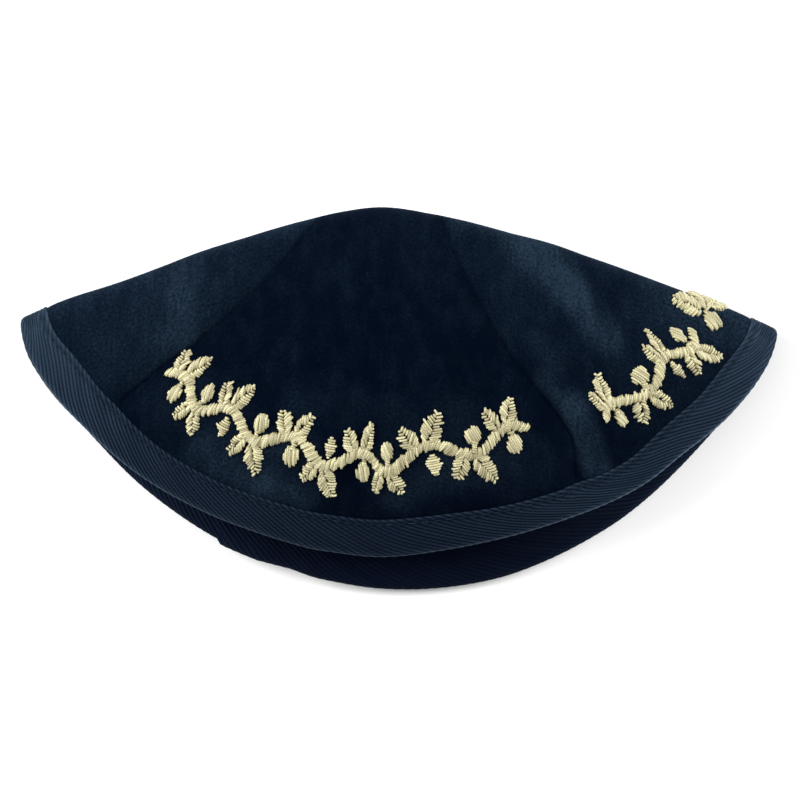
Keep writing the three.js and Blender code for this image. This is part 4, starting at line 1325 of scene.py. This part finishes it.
class SKULLCAP_OT_embroidery(bpy.types.Operator):
    """Embroider the running vine in pale gold satin stitch"""

    bl_idname = "skullcap.embroidery"
    bl_label = "Embroidered vine"
    ACROSS = np.array([-1, -0.93, -0.72, -0.4, 0, 0.4, 0.72, 0.93, 1])
    SIDES = 6
    SPRIG_DROP = -4.3 * MM
    # The threads over the fold lie closer on the flat cloth, because the bend spreads them
    SPRIG_SPACING = 0.64
    # The sprig's leaves: foot in mm, heading in degrees, and shares of a full leaf's length and width
    SPRIG = ((0, 0, 75, 0.8, 1.0), (-1.4, 0.2, 140, 0.7, 0.85), (1.4, 0.2, 20, 0.7, 0.85))
    SPRIG_BERRY = (0, -2.4 * MM)
    SPRIG_BERRY_SHARE = 0.9
    SPRIG_BERRY_SLANT = 0.3
    SPRIG_SEED = 23
    # The runs: name, start and end as a seam's number and a share of the front rim beyond it, and seed
    RUNS = (
        ("vine_front", (0, 0.035), (1, -0.06), "front_middle", 21),
        ("vine_right", (1, 0.12), (1, 0.46), "right_middle", 22),
    )
    STEM_STEPS = 8
    STEM_END = 0.6
    STEM_SLANT = math.radians(28)
    # At each crest: places along as shares of half a wave, headings, and shares of a full leaf's size
    LEAF_ALONG = -0.02
    LEAF_ACROSS = 0.25
    LEAF_HEADING = math.radians(56)
    LEAF_SHARE = 0.8
    SMALL_LEAF = 0.82
    TWIN_ALONG = -0.26
    TWIN_ACROSS = 0.1 * MM
    TWIN_HEADING = math.radians(122)
    TWIN_LENGTH = 0.62
    TWIN_WIDTH = 0.8
    # In each hollow: a berry on its stalk, or a bud
    HOLLOW_ALONG = 0.05
    HOLLOW_DROP = 2.5 * MM
    BUD = (5.6 * MM, 4.4 * MM, math.radians(90))
    BERRY_SLANT = math.radians(20)
    STALK_FROM = 0.6 * MM
    STALK_TO = 1.4 * MM
    STALK_WIDTHS = np.array([1.1, 1.1]) * MM
    STALK_SLANT = math.radians(15)
    # How the laid threads arch over their padding and sink at their ends
    ARCH_POWER = 2.4
    END_SINK = 0.5 * MM
    END_POWER = 12
    UNEVEN = 0.11 * MM
    BEDDED = 0.15 * MM
    THICKNESSES = (0.9, 1.1)

    def vine(self, work, start, end, middle, sizes):
        """A waving stem with leaves on its crests, and berries or buds in its hollows."""
        swings = max(1, round((end - start) / (sizes.wave_length / 2)))
        half_wave = (end - start) / swings
        marks = np.linspace(start, end, swings * self.STEM_STEPS + 1)
        phase = HALF_TURN * (marks - start) / half_wave
        stem = np.stack([marks, middle + sizes.wave_height * np.sin(phase)], axis=1)
        widths = np.full(len(marks), sizes.stem_width)
        widths[[0, -1]] = self.STEM_END * sizes.stem_width
        work.stroke(stem, widths, self.STEM_SLANT)
        for i in range(swings):
            side = 1 if i % 2 == 0 else -1
            crest = np.array([start + (i + 0.5) * half_wave, middle + side * sizes.wave_height])
            small = self.SMALL_LEAF if i % 3 == 1 else 1.0
            foot = crest + [self.LEAF_ALONG * half_wave, side * self.LEAF_ACROSS * sizes.stem_width]
            size = sizes.leaf_length * self.LEAF_SHARE * small
            work.leaf(foot, side * self.LEAF_HEADING, size, sizes.leaf_width * small)
            twin = crest + [self.TWIN_ALONG * half_wave, -side * self.TWIN_ACROSS]
            size = sizes.leaf_length * self.TWIN_LENGTH
            work.leaf(twin, side * self.TWIN_HEADING, size, sizes.leaf_width * self.TWIN_WIDTH)
            drop = side * (sizes.wave_height + self.HOLLOW_DROP)
            hollow = crest + [self.HOLLOW_ALONG * half_wave, -drop]
            if i % 3 == 2:
                work.lozenge(hollow, *self.BUD)
            else:
                work.berry(hollow, sizes.berry_width, self.BERRY_SLANT)
                stalk_end = hollow + [0.0, side * self.STALK_TO]
                stalk = np.array([crest - [0.0, side * self.STALK_FROM], stalk_end])
                work.stroke(stalk, self.STALK_WIDTHS, self.STALK_SLANT)

    def sprig(self, work, sizes):
        """Three leaves and a berry round the middle of their own plane."""
        for across, up, heading, long_, wide in self.SPRIG:
            foot = np.array([across, up]) * MM
            work.leaf(foot, math.radians(heading), sizes.leaf_length * long_, sizes.leaf_width * wide)
        width = sizes.berry_width * self.SPRIG_BERRY_SHARE
        work.berry(np.array(self.SPRIG_BERRY), width, self.SPRIG_BERRY_SLANT)

    def execute(self, context):
        cloth = shaped_cloth(context.scene)
        sizes = context.scene.skullcap_ornament
        finish = context.scene.skullcap_finish
        colours = (tuple(finish.gold), tuple(finish.gold_shade))
        gold = thread_finish("gold_thread", *colours, gloss=0.38, shine=0.5, sheen=0.12)
        seams = cloth.seam_lengths
        front = seams[1] - seams[0]

        def on_band(band):
            return cloth.flat_at(band[..., 0], band[..., 1])

        for name, start, end, middle, seed in self.RUNS:
            first, last = (seams[seam] + part * front for seam, part in (start, end))
            work = Needlework(sizes, seed)
            self.vine(work, first, last, getattr(sizes, middle), sizes)
            self.sew(cloth, sizes, work, name, gold, on_band)
        work = Needlework(sizes, self.SPRIG_SEED, self.SPRIG_SPACING)
        self.sprig(work, sizes)
        cos, sin = math.cos(sizes.sprig_turn), math.sin(sizes.sprig_turn)
        turned = np.array([[cos, sin], [-sin, cos]])
        foot = np.array([sizes.sprig_place, self.SPRIG_DROP])
        self.sew(cloth, sizes, work, "vine_fold", gold, lambda plane: foot + plane @ turned)
        return {"FINISHED"}

    def sew(self, cloth, sizes, work, name, gold, placed):
        """Lay the threads on the cloth, where placed gives the flat points of their plane."""
        ends = np.concatenate(work.ends)
        heights = np.concatenate(work.heights)
        q = self.ACROSS[None, :, None]
        band = ends[:, :1] * (1 - q) / 2 + ends[:, 1:] * (1 + q) / 2
        here, _, _, normal = cloth.frame_at(placed(band))
        lift = np.sqrt(1 - np.abs(self.ACROSS) ** self.ARCH_POWER)
        sunk = self.END_SINK * np.abs(self.ACROSS) ** self.END_POWER
        each = (len(heights), 1)
        uneven = work.random.normal(0, self.UNEVEN, each)
        level = cloth.pile_face - self.BEDDED + heights[:, None] * lift - sunk + uneven
        paths = here + normal * level[..., None]
        radii = sizes.thread_radius * work.random.uniform(*self.THICKNESSES, each)
        radii = np.broadcast_to(radii, paths.shape[:2])
        points, faces, turns = tubes(paths, normal, radii, self.SIDES)
        steps = np.linalg.norm(np.diff(paths, axis=1), axis=2)
        run = np.concatenate([np.zeros((len(paths), 1)), np.cumsum(steps, axis=1)], axis=1)
        run = np.repeat(run.ravel(), self.SIDES) / sizes.thread_radius
        own = np.repeat(work.random.random(len(paths)), len(self.ACROSS) * self.SIDES)
        fields = {"twist": np.stack([run, turns * FULL_TURN, own], axis=1), "own": own}
        add_piece(name, points + cloth.shift, faces, fields, gold)


# The panel in the sidebar


PIECES = (
    SKULLCAP_OT_stage,
    SKULLCAP_OT_velvet,
    SKULLCAP_OT_tape,
    SKULLCAP_OT_topstitch,
    SKULLCAP_OT_embroidery,
)
GROUPS = (
    ("skullcap_cloth", SkullcapCloth),
    ("skullcap_tape", SkullcapTape),
    ("skullcap_ornament", SkullcapOrnament),
    ("skullcap_finish", SkullcapFinish),
    ("skullcap_studio", SkullcapStudio),
)


class SKULLCAP_PT_pieces(bpy.types.Panel):
    """The cap's pieces and their sizes"""

    bl_idname = "SKULLCAP_PT_pieces"
    bl_label = "Velvet skullcap"
    bl_space_type = "VIEW_3D"
    bl_region_type = "UI"
    bl_category = "Skullcap"

    def draw(self, context):
        for piece in PIECES:
            self.layout.operator(piece.bl_idname)
        for name, group in GROUPS:
            box = self.layout.box()
            box.label(text=group.bl_rna.description)
            values = getattr(context.scene, name)
            for key in group.__annotations__:
                box.prop(values, key)


def register():
    for name, group in GROUPS:
        bpy.utils.register_class(group)
        setattr(bpy.types.Scene, name, bpy.props.PointerProperty(type=group))
    for kind in (*PIECES, SKULLCAP_PT_pieces):
        bpy.utils.register_class(kind)


def unregister():
    for kind in (SKULLCAP_PT_pieces, *reversed(PIECES)):
        bpy.utils.unregister_class(kind)
    for name, group in reversed(GROUPS):
        delattr(bpy.types.Scene, name)
        bpy.utils.unregister_class(group)


def main():
    """Make every piece in order."""
    register()
    bpy.ops.skullcap.stage()
    bpy.ops.skullcap.velvet()
    bpy.ops.skullcap.tape()
    bpy.ops.skullcap.topstitch()
    bpy.ops.skullcap.embroidery()


if __name__ == "__main__":
    main()
